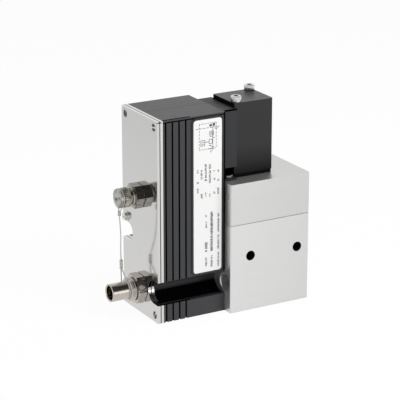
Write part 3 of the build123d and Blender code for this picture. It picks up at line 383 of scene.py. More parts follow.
@dataclass(frozen=True)
class MouldedShell(Finish):
    """Moulded or cast dark shell: spark-eroded grain, a few paler scuffs and dust."""

    neck_share: float = 0.6

    def shaded_places(self, graph: Graph) -> Value:
        """Return a mask of the places in deep shade, by how far behind the front face they lie."""
        x, y, z = graph.axes()
        behind = y - MARKS.front
        flutes = (1.0 - x.above(MARKS.flutes_end, 0.2 * MM)) * behind.above(MARKS.flute_shade, 0.15 * MM)
        lip = z.between(MARKS.lip_low, MARKS.lip_high, 0.05 * MM)
        strip = x.above(MARKS.strip_start, 0.05 * MM) * z.above(MARKS.strip_low, 0.1 * MM)
        strip = strip * (1.0 - behind.above(0.1 * MM, 0.05 * MM)) * (1.0 - x.above(MARKS.end, 0.05 * MM))
        radius = ((z - MARKS.channel_z) ** 2.0).math("SQRT")
        channel = (1.0 - radius.above(MARKS.channel_radius, 0.1 * MM)) * behind.above(MARKS.channel_shade, 1.6 * MM)
        channel = channel * (1.0 - z.above(MARKS.channel_z - 1.0 * MM, 1.6 * MM))
        shallow = 1.0 - behind.above(2.2 * MM, 0.1 * MM)
        edge = x.above(MARKS.end, 0.05 * MM) * z.above(MARKS.neck_edge, 0.05 * MM)
        edge = edge * (1.0 - y.above(MARKS.neck_front, 0.05 * MM))
        seam = y.between(MARKS.parting - 0.16 * MM, MARKS.parting + 0.16 * MM, 0.08 * MM)
        seam = seam * z.above(MARKS.top, 0.03 * MM) * 0.75
        marks = flutes.math("MAXIMUM", lip).math("MAXIMUM", strip) * shallow
        return marks.math("MAXIMUM", edge).math("MAXIMUM", seam).math("MAXIMUM", channel)

    def detail(self, graph: Graph) -> None:
        """Add scuffs that are paler and rougher than the rest, and the shade."""
        grain = graph.noise(self.grain_mm, 3.0)
        cloud = graph.noise(self.mottle_mm, 3.0)
        scuffs = graph.noise(5.0, 6.0, (1.0, 1.0, 0.35)).above(0.68, 0.05)
        colour = graph.mix(cloud * 0.6 + grain * 0.4, self.shaded(-self.mottle), self.shaded(self.mottle))
        scuffed = graph.mix(scuffs * 0.25, colour, self.shaded(0.9))
        neck = graph.axes()[0].above(MARKS.end, 0.05 * MM)
        necked = graph.mix(neck, scuffed, self.shaded(self.neck_share - 1.0))
        graph.black(self.shaded_places(graph))
        graph.set(Base_Color=necked,
                  Roughness=self.roughness + (grain - 0.5) * 0.12 + scuffs * 0.08 + neck * 0.12,
                  Normal=graph.bump(grain, self.grain_depth_mm))


@dataclass(frozen=True)
class CoatedCasing(Finish):
    """Electro-coated steel casing: slight orange peel and a warm black."""

    # where the painted shade over the neck and at the foot begins
    left_face: float = -23.6 * MM
    foot: float = 60.0 * MM

    def detail(self, graph: Graph) -> None:
        """Add the orange peel and cloudy gloss, and paint shade over the face above the neck and over the foot,
        which keeps them darker.
        """
        x, _, z = graph.axes()
        # painted shade on the left face over the neck
        shade_over_neck = (1.0 - x.above(self.left_face, 0.05 * MM)) * 0.85
        # painted shade over the foot too, fading out upwards
        graph.black(shade_over_neck.math("MAXIMUM", (1.0 - z.above(self.foot, 12.0 * MM)) * 0.7))
        peel = graph.noise(0.9, 1.0)
        cloud = graph.noise(11.0, 4.0)
        colour = graph.mix(cloud, self.shaded(-0.12), (self.colour[0] * 1.25, self.colour[1] * 1.15,
                                                       self.colour[2] * 1.1))
        graph.set(Base_Color=colour, Roughness=self.roughness + (cloud - 0.5) * 0.16,
                  Normal=graph.bump(peel * 0.7 + graph.noise(0.25) * 0.3, self.grain_depth_mm))


@dataclass(frozen=True)
class PlatedMetal(Finish):
    """Nickel or zinc plate over turned metal: fine tool rings and a warm cast in places."""

    cast: Colour = (0.62, 0.55, 0.42)
    ring_mm: float = 0.12
    cloud_mm: float = 4.0
    share: float = 0.3

    def detail(self, graph: Graph) -> None:
        """Add the tool rings and the warm cast."""
        rings = graph.noise(self.ring_mm, 2.0, (1.0, 0.06, 0.06))
        cloud = graph.noise(self.cloud_mm, 3.0)
        warm = cloud.above(0.54, 0.08)
        graph.set(Base_Color=graph.mix(warm * self.share, self.colour, self.cast),
                  Roughness=self.roughness + rings * 0.08 + (cloud - 0.5) * 0.08,
                  Normal=graph.bump(rings, self.grain_depth_mm))


@dataclass(frozen=True)
class SlottedHead(PlatedMetal):
    """Plated oval heads on the cover: the crown's dark colour is a painted dark reflection, and the bright slot
    below the crown shows the plated metal.
    """

    slot: float = -83.0 * MM + 0.22 * MM
    bright: Colour = (0.85, 0.84, 0.82)

    def detail(self, graph: Graph) -> None:
        """Keep the plated metal's bright colour in what lies deeper than the crown's rim, below the crown's painted
        dark reflection.
        """
        super().detail(graph)
        deep = graph.axes()[0].above(self.slot, 0.04 * MM)
        graph.set(Base_Color=graph.mix(deep, self.colour, self.bright))


@dataclass(frozen=True)
class Winding(Finish):
    """Enamelled wire laid turn by turn up the coil."""

    wire_mm: float = 0.5

    def detail(self, graph: Graph) -> None:
        """Make the turns as a wave along Z."""
        turns = graph.node("ShaderNodeTexWave", {"wave_type": "BANDS", "bands_direction": "Z"},
                           {"Vector": graph.place(), "Scale": 0.314 / (self.wire_mm * MM),
                            "Distortion": 0.4, "Detail": 1.0}, "Fac")
        graph.set(Base_Color=graph.mix(turns, self.shaded(-0.5), self.shaded(0.15)),
                  Normal=graph.bump(turns, 0.12))


@dataclass(frozen=True)
class BoardLacquer(Finish):
    """Circuit board under green lacquer, with tracks that show through."""

    def detail(self, graph: Graph) -> None:
        """Draw tracks as the edges of square cells."""
        cells = graph.node("ShaderNodeTexVoronoi", {"feature": "DISTANCE_TO_EDGE"},
                           {"Vector": graph.place(), "Scale": 420.0, "Randomness": 0.35}, "Distance")
        tracks = 1.0 - cells.above(0.08, 0.03)
        graph.set(Base_Color=graph.mix(tracks * 0.6, self.colour, (0.16, 0.42, 0.2)),
                  Normal=graph.bump(tracks, 0.03))


@dataclass(frozen=True)
class LabelFilm(Finish):
    """White film with a faint stipple and a soft sheen."""

    def detail(self, graph: Graph) -> None:
        """Add the stipple."""
        stipple = graph.noise(0.2, 1.0)
        graph.set(Base_Color=graph.mix(graph.noise(20.0), self.shaded(-0.015), self.shaded(0.015)),
                  Roughness=self.roughness + stipple * 0.08,
                  Normal=graph.bump(stipple, self.grain_depth_mm))


@dataclass(frozen=True)
class CoatedCord(Finish):
    """Clear-coated steel cord, where the strands show through as pale and dark bands."""

    def detail(self, graph: Graph) -> None:
        """Band the colour along the cord."""
        strands = graph.node("ShaderNodeTexWave", {"wave_type": "BANDS", "bands_direction": "DIAGONAL"},
                             {"Vector": graph.place(), "Scale": 900.0, "Distortion": 0.5}, "Fac")
        graph.set(Base_Color=graph.mix(strands, self.shaded(-0.25), self.shaded(0.15)),
                  Normal=graph.bump(strands, 0.04))


FINISHES = {
    "housing_black": MouldedShell("shell_dark_grey", (0.026, 0.027, 0.03), 0.44, mottle=0.1,
                                  grain_mm=0.3, grain_depth_mm=0.01),
    "carrier_black": Finish("carrier_black", (0.008, 0.008, 0.009), 0.35, grain_depth_mm=0.004),
    "cover_bright": PolishedSheet("cover_bright", (0.66, 0.655, 0.645), 0.09, 1.0),
    "frame_bright": PolishedSheet("frame_bright", (0.72, 0.71, 0.69), 0.2, 1.0),
    "gasket_dark": Finish("gasket_dark", (0.012, 0.012, 0.013), 0.8, grain_depth_mm=0.02),
    "block_anodised": AnodisedBlock("block_anodised", (0.71, 0.71, 0.705), 0.34, 0.8,
                                    grain_mm=0.25, grain_depth_mm=0.004),
    "block_upper": AnodisedBlock("block_upper", (0.66, 0.66, 0.65), 0.34, 0.85,
                                 grain_mm=0.25, grain_depth_mm=0.004),
    "gasket_grey": Finish("gasket_grey", (0.26, 0.26, 0.255), 0.7, grain_depth_mm=0.01),
    # domed block screws: the dark colour is a painted dark reflection of the dark housing around them
    "dome_steel": PlatedMetal("dome_steel", (0.26, 0.26, 0.26), 0.12, 1.0, grain_depth_mm=0.001,
                              cast=(0.2, 0.2, 0.2)),
    "socket_zinc": PlatedMetal("socket_zinc", (0.66, 0.66, 0.65), 0.12, 1.0, grain_depth_mm=0.002,
                               cast=(0.4, 0.4, 0.38)),
    "solenoid_dark": CoatedCasing("casing_warm_black", (0.009, 0.008, 0.0078), 0.36, specular=0.42,
                                  grain_depth_mm=0.01),
    "screw_zinc": PlatedMetal("screw_zinc", (0.72, 0.72, 0.7), 0.22, 1.0, grain_depth_mm=0.002,
                              cast=(0.66, 0.62, 0.52)),
    # cover screws: the dark crown colour is a painted dark reflection on plated heads
    "screw_blued": SlottedHead("screw_blued", (0.09, 0.09, 0.09), 0.3, 1.0, grain_depth_mm=0.002,
                               cast=(0.14, 0.13, 0.12)),
    "flange_black": Finish("flange_black", (0.003, 0.003, 0.003), 0.7, specular=0.1, grain_depth_mm=0.01),
    "connector_nickel": PlatedMetal("connector_nickel", (0.52, 0.49, 0.45), 0.16, 1.0,
                                    grain_depth_mm=0.002),
    "connector_black": PlatedMetal("connector_dark", (0.4, 0.39, 0.36), 0.17, 1.0, grain_depth_mm=0.002,
                                   cast=(0.12, 0.11, 0.1), cloud_mm=2.2, share=0.5),
    "insulator_black": Finish("insulator_black", (0.014, 0.014, 0.015), 0.55),
    "contact_gold": PlatedMetal("contact_gold", (0.52, 0.4, 0.19), 0.32, 1.0, grain_depth_mm=0.001,
                                cast=(0.46, 0.34, 0.16)),
    "seal_black": Finish("seal_black", (0.02, 0.02, 0.02), 0.6, grain_depth_mm=0.01),
    "cap_olive": PlatedMetal("cap_olive", (0.5, 0.48, 0.42), 0.3, 0.9, grain_depth_mm=0.003,
                             cast=(0.1, 0.085, 0.06), cloud_mm=2.6, share=0.7),
    "cap_light": PlatedMetal("cap_light", (0.5, 0.5, 0.48), 0.3, 0.7, grain_depth_mm=0.003,
                             cast=(0.12, 0.11, 0.1), cloud_mm=3.4, share=0.65),
    "cord_light": CoatedCord("cord_light", (0.66, 0.66, 0.64), 0.3, 0.4),
    "crimp_nickel": PlatedMetal("crimp_nickel", (0.5, 0.49, 0.46), 0.3, 0.9, grain_depth_mm=0.004),
    "label_white": LabelFilm("label_film", (0.84, 0.84, 0.835), 0.45, grain_depth_mm=0.002),
    "label_ink": Finish("label_ink", (0.04, 0.04, 0.04), 0.6, mottle=0.3, mottle_mm=0.6),
    "steel_ground": PlatedMetal("steel_ground", (0.66, 0.66, 0.66), 0.2, 1.0, grain_depth_mm=0.002,
                                cast=(0.6, 0.58, 0.55)),
    "iron_soft": PlatedMetal("iron_soft", (0.5, 0.5, 0.51), 0.34, 1.0, grain_depth_mm=0.003,
                             cast=(0.45, 0.42, 0.38)),
    "bobbin_white": Finish("bobbin_natural", (0.78, 0.76, 0.7), 0.5),
    "copper": Winding("copper_enamel", (0.75, 0.34, 0.15), 0.28, 1.0),
    "board_green": BoardLacquer("board_lacquer", (0.03, 0.17, 0.07), 0.3, coat=0.4),
    "chip_black": Finish("chip_black", (0.03, 0.03, 0.03), 0.5),
    "can_silver": PlatedMetal("can_silver", (0.7, 0.7, 0.72), 0.25, 1.0, grain_depth_mm=0.002),
}


class Wardrobe:
    """Makes each finish once and dresses pieces with it."""

    def __init__(self) -> None:
        """Start with no material made."""
        self.made: dict[str, bpy.types.Material] = {}

    def dress(self, piece: bpy.types.Object, name: str) -> None:
        """Give a piece one finish all over.

        Args:
            piece: The mesh object.
            name: The finish's name.
        """
        if name not in self.made:
            self.made[name] = FINISHES[name].build()
        piece.data.materials.clear()
        piece.data.materials.append(self.made[name])


def grid_faces(rows: int, columns: int, ring: bool, closed: bool) -> np.ndarray:
    """Return the quads of a grid of points.

    Quad (i, j) joins row i, column j to its next row and next column, as row * columns + column.

    Args:
        rows: Number of rows.
        columns: Number of points in a row.
        ring: Whether the last column joins the first.
        closed: Whether the last row joins the first.

    Returns:
        Array of four indices for each face.
    """
    i = np.arange(rows if closed else rows - 1)[:, None]
    j = np.arange(columns if ring else columns - 1)[None, :]
    next_i, next_j = (i + 1) % rows, (j + 1) % columns
    corners = (i * columns + j, i * columns + next_j, next_i * columns + next_j, next_i * columns + j)
    return np.stack([np.broadcast_to(c, (i.shape[0], j.shape[1])) for c in corners], -1).reshape(-1, 4)


def mesh_piece(name: str, points: np.ndarray, faces: np.ndarray, sharp: float = 35.0,
               tidy: bool = True) -> bpy.types.Object:
    """Make an object from points and faces, with shared points merged and faces turned outwards.

    Args:
        name: The object's name.
        points: Array of points in metres.
        faces: Array of indices, one row for each face.
        sharp: Angle in degrees above which an edge stays sharp.
        tidy: Whether doubles are merged and normals worked out again.

    Returns:
        The object, linked to the scene.
    """
    mesh = bpy.data.meshes.new(name)
    mesh.from_pydata(points.reshape(-1, 3).tolist(), [], faces.tolist())
    if tidy:
        work = bmesh.new()
        work.from_mesh(mesh)
        bmesh.ops.remove_doubles(work, verts=work.verts, dist=1e-6)
        bmesh.ops.recalc_face_normals(work, faces=work.faces)
        work.to_mesh(mesh)
        work.free()
    mesh.shade_smooth()
    mesh.set_sharp_from_angle(angle=radians(sharp))
    piece = bpy.data.objects.new(name, mesh)
    bpy.context.scene.collection.objects.link(piece)
    return piece


class Axis(Enum):
    """Axis that a turned piece lies along, with the two axes across it."""

    X = (0, 1, 2)
    Z = (2, 0, 1)


@dataclass(frozen=True)
class Turned:
    """Turned form: rows at places along an axis, each with a radius for every turn angle."""

    axis: Axis
    centre: Point
    sides: int = 96

    @property
    def angles(self) -> np.ndarray:
        """Turn angles, with the first on the first cross axis."""
        return np.arange(self.sides) * (2 * pi / self.sides)

    def hexagon(self, across: float) -> np.ndarray:
        """Return the radius of a hexagon at each angle.

        The radius is half the width across flats over the cosine of the angle from the nearest flat's
        middle; the flats lie square to the second cross axis.
        """
        folded = (self.angles + pi / 3) % (pi / 3) - pi / 6
        return across / 2 / np.cos(folded)

    def build(self, name: str, along: np.ndarray, radii: np.ndarray, closed: bool = False,
              sharp: float = 35.0) -> bpy.types.Object:
        """Make the surface: a point is the centre, plus the row's place along the axis, plus its radius
        times the cosine and sine of the turn across the axis.

        Args:
            name: The object's name.
            along: Place of each row along the axis, in metres.
            radii: Array of rows by angles.
            closed: Whether the last row joins the first, as for a tube with a wall.
            sharp: Angle above which an edge stays sharp.

        Returns:
            The object.
        """
        main, first, second = self.axis.value
        radii = np.broadcast_to(radii, (len(along), self.sides))
        points = np.empty((len(along), self.sides, 3))
        points[..., main] = np.asarray(along)[:, None]
        points[..., first] = self.centre[first] + radii * np.cos(self.angles)
        points[..., second] = self.centre[second] + radii * np.sin(self.angles)
        return mesh_piece(name, points, grid_faces(len(along), self.sides, True, closed), sharp)


def tube(name: str, path: np.ndarray, radius: float, sides: int = 16, strands: int = 0,
         lay: float = 0.0) -> bpy.types.Object:
    """Make a tube with closed ends along a path near a plane square to X.

    Each ring lies square to the path: a point is the path's point, plus the radius times the cosine of
    the turn towards X, plus the sine of the turn across both. With strands, the radius swells by a
    cosine of strands times the turn less the distance run over the lay.

    Args:
        name: The object's name.
        path: Array of points in metres.
        radius: The tube's radius.
        sides: Points in a ring.
        strands: Number of strands that show on the surface.
        lay: Distance in which the strands turn once.

    Returns:
        The object.
    """
    tangent = np.gradient(path, axis=0)
    tangent /= np.linalg.norm(tangent, axis=1, keepdims=True)
    across = np.cross(tangent, (1.0, 0.0, 0.0))
    across /= np.linalg.norm(across, axis=1, keepdims=True)
    upright = np.cross(across, tangent)
    run = np.concatenate(([0.0], np.cumsum(np.linalg.norm(np.diff(path, axis=0), axis=1))))
    turn = np.arange(sides) * (2 * pi / sides)
    swell = np.ones((len(path), sides)) * radius
    if strands:
        swell *= 0.93 + 0.07 * np.cos(strands * (turn[None, :] - 2 * pi * run[:, None] / lay))
    ring = (np.cos(turn)[None, :, None] * upright[:, None, :] + np.sin(turn)[None, :, None] * across[:, None, :])
    points = path[:, None, :] + swell[..., None] * ring
    ends = [np.repeat(path[place][None, None, :], sides, axis=1) for place in (0, -1)]
    points = np.concatenate([ends[0], points, ends[1]])
    return mesh_piece(name, points, grid_faces(len(path) + 2, sides, True, False), 60.0)


def eased_copy(node: str, width_mm: float, name: str | None = None, sharp: float = 30.0) -> bpy.types.Object:
    """Copy a CAD node's mesh, merge it, and break its edges with a small bevel that leaves the flat
    faces' shading flat.

    Args:
        node: The CAD node.
        width_mm: Width of the broken edges.
        name: The piece's name, or None for the node's name with an ending.
        sharp: Angle in degrees above which an edge is broken.

    Returns:
        The piece, which replaces the node.
    """
    work = bmesh.new()
    work.from_mesh(bpy.data.objects[node].data)
    bmesh.ops.remove_doubles(work, verts=work.verts, dist=2e-6)
    bmesh.ops.dissolve_limit(work, angle_limit=radians(0.5), verts=work.verts, edges=work.edges,
                             delimit={"NORMAL"})
    mesh = bpy.data.meshes.new(name or f"{node}_eased")
    work.to_mesh(mesh)
    work.free()
    mesh.shade_smooth()
    piece = bpy.data.objects.new(mesh.name, mesh)
    bpy.context.scene.collection.objects.link(piece)
    bevel = piece.modifiers.new("edges", "BEVEL")
    bevel.width = width_mm * MM
    bevel.segments = 2
    bevel.limit_method = "ANGLE"
    bevel.angle_limit = radians(sharp)
    bevel.use_clamp_overlap = True
    flat = piece.modifiers.new("flat_faces", "WEIGHTED_NORMAL")
    flat.mode = "FACE_AREA"
    flat.weight = 100
    flat.keep_sharp = True
    return piece


def middle(node: str) -> Vector:
    """Return the middle of a CAD node's box."""
    low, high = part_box(node)
    return (low + high) / 2


@dataclass
class SubAssembly:
    """Base of the sub-assemblies: makes pieces, dresses them and ties them to their body."""

    wardrobe: Wardrobe
    body: str = "valve_body"

    def add(self, piece: bpy.types.Object, finish: str, *nodes: str, slot: str | None = None,
            body: str | None = None, ride: bool = True) -> bpy.types.Object:
        """Dress a new piece, let it stand for CAD nodes and tie it to a body.

        Args:
            piece: The new object.
            finish: Name of its finish.
            nodes: CAD nodes that it replaces.
            slot: The record's slot, where it isn't the finish's own name; not used.
            body: The CAD body it rides on, where it isn't the sub-assembly's own.
            ride: Whether it is tied to its body now; a piece that isn't stays where it is.

        Returns:
            The piece.
        """
        self.wardrobe.dress(piece, finish)
        if nodes:
            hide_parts(*nodes)
        if ride:
            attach(piece, body or self.body)
        log.info("%s: %d faces", piece.name, len(piece.data.polygons))
        return piece

    def ease(self, finish: str, width_mm: float, *nodes: str, slot: str | None = None) -> None:
        """Replace CAD nodes by copies with broken edges."""
        for node in nodes:
            self.add(eased_copy(node, width_mm), finish, node, slot=slot)

    def keep(self, finish: str, *nodes: str) -> None:
        """Dress CAD nodes that stay as they are."""
        for node in nodes:
            self.wardrobe.dress(bpy.data.objects[node], finish)
            log.info("%s keeps its form", node)


@dataclass
class Housing(SubAssembly):
    """Electronics housing: two fluted shells, end cover, frame, label carrier and small screws."""

    shell_edge_mm: float = 0.45
    cover_edge_mm: float = 0.25
    screw_edge_mm: float = 0.12
    dome_mm: float = 0.5
    ring_mm: float = 0.2
    slot_mm: float = 1.3

    def build(self) -> None:
        """Dress the housing."""
        self.ease("housing_black", self.shell_edge_mm, "housing_front", "housing_rear")
        self.ease("cover_bright", self.cover_edge_mm, "end_cover")
        self.ease("frame_bright", self.cover_edge_mm, "cover_frame", slot="cover_bright")
        self.ease("screw_zinc", self.screw_edge_mm, "earth_washer", "earth_screw", "shell_screws")
        self.cover_screws()
        self.ease("carrier_black", 0.12, "label_carrier", slot="housing_black")
        self.keep("gasket_dark", "cover_gasket")

    def cover_screws(self) -> None:
        """Make the four oval-head screws of the cover.

        The head is part of a ball: its height over the rim falls with the square of the radius. Points
        nearer to the slot's line than half its width lie deeper by the slot's depth, which ends in a
        steep step. The rim lies in a narrow ring below the sheet.
        """
        for index, solid in enumerate(islands("cover_screws")):
            low, high = solid.min(0), solid.max(0)
            centre = (low + high) / 2
            rim = (high[1] - low[1]) / 2 - self.ring_mm * MM
            sides, rows = 96, 40
            turn = np.arange(sides) * (2 * pi / sides)
            reach = np.linspace(0.02, 1.0, rows)[:, None] * rim
            side, up = reach * np.cos(turn), reach * np.sin(turn)
            lean = radians(35.0 + 50.0 * index)
            across = np.abs(side * cos(lean) + up * sin(lean))
            slot = np.clip((self.slot_mm * MM / 2 - across) / (0.08 * MM), 0.0, 1.0) * (0.7 * MM)
            face = low[0] + 0.15 * MM - self.dome_mm * MM * (1 - (reach / rim) ** 2) + slot
            head = np.stack([face, centre[1] + side, centre[2] + up], -1)
            shank = np.array([(low[0] + 1.3 * MM, rim * 0.62), (high[0], rim * 0.62), (high[0], 0.0)])
            rings = [np.stack([np.full(sides, x), centre[1] + r * np.cos(turn), centre[2] + r * np.sin(turn)], -1)
                     for x, r in shank]
            pole = np.broadcast_to(head[:1].mean(1, keepdims=True), head[:1].shape)
            points = np.concatenate([pole, head, np.array(rings)])
            faces = grid_faces(len(points), sides, True, False)
            self.add(mesh_piece(f"cover_screw_{index + 1}", points, faces, 40.0), "screw_blued",
                     "cover_screws", slot="screw_zinc")


@dataclass(frozen=True)
class Bar:
    """A printed bar on the label, in millimetres from the label's upper left corner."""

    x: float
    v: float
    width: float
    height: float


@dataclass(frozen=True)
class Line:
    """A greeked line of small print that runs up the label, in millimetres from its upper left corner."""

    across: float
    start: float
    end: float
    reach: float = 1.5
    weight: float = 0.44


@dataclass
class Label(SubAssembly):
    """White label with a plain circuit diagram and greeked lines that run up the label."""

    ink_mm: float = 0.02
    line_mm: float = 0.34
    pitch_mm: float = 0.78
    lines: tuple[Line, ...] = (
        Line(3.0, 33.0, 35.2), Line(3.0, 41.0, 42.2), Line(3.0, 45.4, 49.0), Line(5.8, 33.2, 40.2),
        Line(5.8, 49.4, 52.2), Line(8.9, 29.8, 41.8, 1.7), Line(8.9, 48.8, 52.6, 0.9),
        Line(12.0, 30.4, 42.9, 1.7), Line(12.0, 50.2, 52.6, 0.9), Line(15.3, 34.9, 36.1),
        Line(15.3, 40.0, 41.9), Line(15.3, 49.2, 51.6), Line(18.2, 34.8, 36.5), Line(18.2, 41.0, 42.4),
        Line(18.2, 46.9, 51.5), Line(9.3, 64.2, 66.0, 1.3), Line(9.3, 68.8, 72.9, 1.3),
        Line(9.3, 83.0, 90.2, 2.0, 0.5), Line(9.3, 93.0, 99.8, 1.6), Line(13.4, 62.6, 90.3, 2.1, 0.5),
        Line(13.4, 92.6, 100.5, 1.6), Line(18.3, 64.2, 77.4, 1.4), Line(18.3, 79.2, 88.8, 1.4),
        Line(18.3, 90.8, 100.8, 1.4),
    )

    def corners(self, bars: list[Bar]) -> tuple[np.ndarray, np.ndarray]:
        """Return the points and faces of all bars as thin slabs.

        Each slab has its eight corners at the bar's two sides, the sheet's face and the ink's face,
        and the bar's two ends.
        """
        low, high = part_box("label_plate")
        front, ink = low.y, low.y - self.ink_mm * MM
        sizes = np.array([[b.x, -b.v - b.height, b.x + b.width, -b.v] for b in bars]) * MM
        x0, z0, x1, z1 = (sizes + np.array([low.x, high.z, low.x, high.z])).T
        near, far = np.full_like(x0, ink), np.full_like(x0, front + 2e-6)
        points = np.stack([np.stack(c, -1) for c in (
            (x0, near, z0), (x1, near, z0), (x1, near, z1), (x0, near, z1),
            (x0, far, z0), (x1, far, z0), (x1, far, z1), (x0, far, z1))], 1)
        block = np.array([(0, 1, 2, 3), (5, 4, 7, 6), (4, 0, 3, 7), (1, 5, 6, 2), (3, 2, 6, 7), (4, 5, 1, 0)])
        faces = (np.arange(len(bars))[:, None, None] * 8 + block[None]).reshape(-1, 4)
        return points, faces

    def greeked(self, line: Line, seed: int) -> list[Bar]:
        """Return short strokes that stand for a line of small print without being letters.

        Args:
            line: The line's place and weight.
            seed: Seed of the strokes' lengths.
        """
        chance = np.random.default_rng(seed)
        bars, v = [], line.start
        while v < line.end - line.weight:
            if chance.random() < 0.1:
                v += 0.5
                continue
            reach = line.reach * (0.6 + 0.4 * chance.random())
            left = line.across - line.reach / 2 + (line.reach - reach) * chance.random()
            bars.append(Bar(left, v, reach, line.weight))
            if chance.random() < 0.5:
                bars.append(Bar(left + (reach - 0.3) * chance.random(), v, 0.3, self.pitch_mm * 0.9))
            v += self.pitch_mm * (0.85 + 0.3 * chance.random())
        return bars

    def frame(self, x: float, v: float, width: float, height: float, dashes: int = 1) -> list[Bar]:
        """Return a rectangle of thin lines, whose sides may be dashed."""
        t, bars = self.line_mm, []
        share = 0.62 if dashes > 1 else 1.0
        for index in range(dashes):
            step_x, step_v = width * index / dashes, height * index / dashes
            long_x, long_v = width / dashes * share, height / dashes * share
            bars += [Bar(x + step_x, v, long_x, t), Bar(x + step_x, v + height - t, long_x, t),
                     Bar(x, v + step_v, t, long_v), Bar(x + width - t, v + step_v, t, long_v)]
        return bars

    def diagram(self) -> list[Bar]:
        """Return a plain diagram of a regulated valve, built of boxes and lines."""
        t = self.line_mm
        bars = self.frame(4.0, 2.6, 12.8, 17.4, 8) + self.frame(5.1, 13.6, 3.2, 3.8)
        bars += self.frame(11.6, 8.2, 3.2, 2.8) + self.frame(11.2, 13.4, 2.6, 3.2)
        bars += [Bar(1.6 + 2.6 * step, 5.6, 1.8, t) for step in range(7)]
        bars += [Bar(5.9, 14.8, 1.6, t), Bar(5.9, 16.0, 1.6, t), Bar(8.3, 15.0, 2.9, t),
                 Bar(13.9, 3.4, t, 18.0), Bar(11.6, 3.6, 1.7, 1.5), Bar(14.2, 3.2, 1.5, 1.7),
                 Bar(12.2, 9.3, 2.0, 0.6), Bar(11.8, 11.6, 2.6, t), Bar(11.4, 17.4, 1.6, 0.6),
                 Bar(12.8, 18.6, 2.0, t), Bar(11.0, 19.6, 3.8, 0.5), Bar(12.4, 21.0, 0.5, 1.4),
                 Bar(14.4, 12.6, 1.2, t), Bar(15.4, 6.6, 2.6, t)]
        return bars

    def build(self) -> None:
        """Make the label and its print."""
        self.ease("label_white", 0.06, "label_plate")
        bars = self.diagram()
        for index, line in enumerate(self.lines):
            bars += self.greeked(line, 11 + index)
        points, faces = self.corners(bars)
        self.add(mesh_piece("label_print", points, faces), "label_ink", slot="label_white")


@dataclass
class ValveBlock(SubAssembly):
    """Two-part aluminium block, its gasket and screws, and the cartridge inside."""

    edge_mm: float = 0.3

    def build(self) -> None:
        """Dress the block and the cartridge."""
        self.ease("block_anodised", self.edge_mm, "lower_block")
        self.ease("block_upper", self.edge_mm, "upper_block", slot="block_anodised")
        self.ease("screw_zinc", 0.15, "block_screws_bottom")
        self.keep("gasket_grey", "block_gasket")
        self.keep("steel_ground", "valve_sleeve", "spring_seat", "spool")
        self.keep("seal_black", "sleeve_seals")
        self.spring()
        self.domes()

    def spring(self) -> None:
        """Copy the return spring's turns into a piece of its own, which isn't tied to a body."""
        low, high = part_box("return_spring")
        foot = (low + high) / 2
        foot.z = low.z
        coil = bpy.data.objects.new("spring_coil", bpy.data.objects["return_spring"].data.copy())
        bpy.context.scene.collection.objects.link(coil)
        self.add(coil, "steel_ground", "return_spring", ride=False)
        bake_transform(coil)

    def domes(self) -> None:
        """Make the two domed screws smooth, each a turned form with a hexagon socket.

        Going down the head, the radius follows a quarter of an ellipse; the socket's rows take the
        hexagon's radius.
        """
        for index, solid in enumerate(islands("block_screws_top")):
            low, high = solid.min(0), solid.max(0)
            centre = tuple((low + high) / 2)
            form = Turned(Axis.Z, centre, 72)
            head, dome = (high[0] - low[0]) / 2, 1.9 * MM
            swing = np.linspace(radians(32), radians(90), 12)
            along = [high[2] - 1.2 * MM, high[2] - 1.2 * MM, high[2]]
            radii = [0 * form.angles, form.hexagon(3.0 * MM), form.hexagon(3.0 * MM)]
            for angle in swing:
                along.append(high[2] - dome * (1 - cos(angle - radians(32))) * 1.3)
                radii.append(head * sin(angle) + 0 * form.angles)
            shank = 2.5 * MM
            foot = high[2] - 2.4 * MM
            along += [foot, foot, low[2], low[2]]
            radii += [head + 0 * form.angles, shank + 0 * form.angles, shank + 0 * form.angles,
                      0 * form.angles]
            name = f"block_screw_dome_{index + 1}"
            self.add(form.build(name, np.array(along), np.array(radii)), "dome_steel",
                     "block_screws_top", slot="screw_zinc")


def islands(node: str) -> list[np.ndarray]:
    """Return the points of each separate solid of a CAD node, in order along X and then Y."""
    work = bmesh.new()
    work.from_mesh(bpy.data.objects[node].data)
    bmesh.ops.remove_doubles(work, verts=work.verts, dist=2e-6)
    left, found = set(work.verts), []
    while left:
        stack, group = [left.pop()], []
        while stack:
            point = stack.pop()
            group.append(tuple(point.co))
            near = {edge.other_vert(point) for edge in point.link_edges} & left
            left -= near
            stack.extend(near)
        found.append(np.array(group))
    work.free()
    return sorted(found, key=lambda points: tuple(np.round(points.mean(0), 4)))


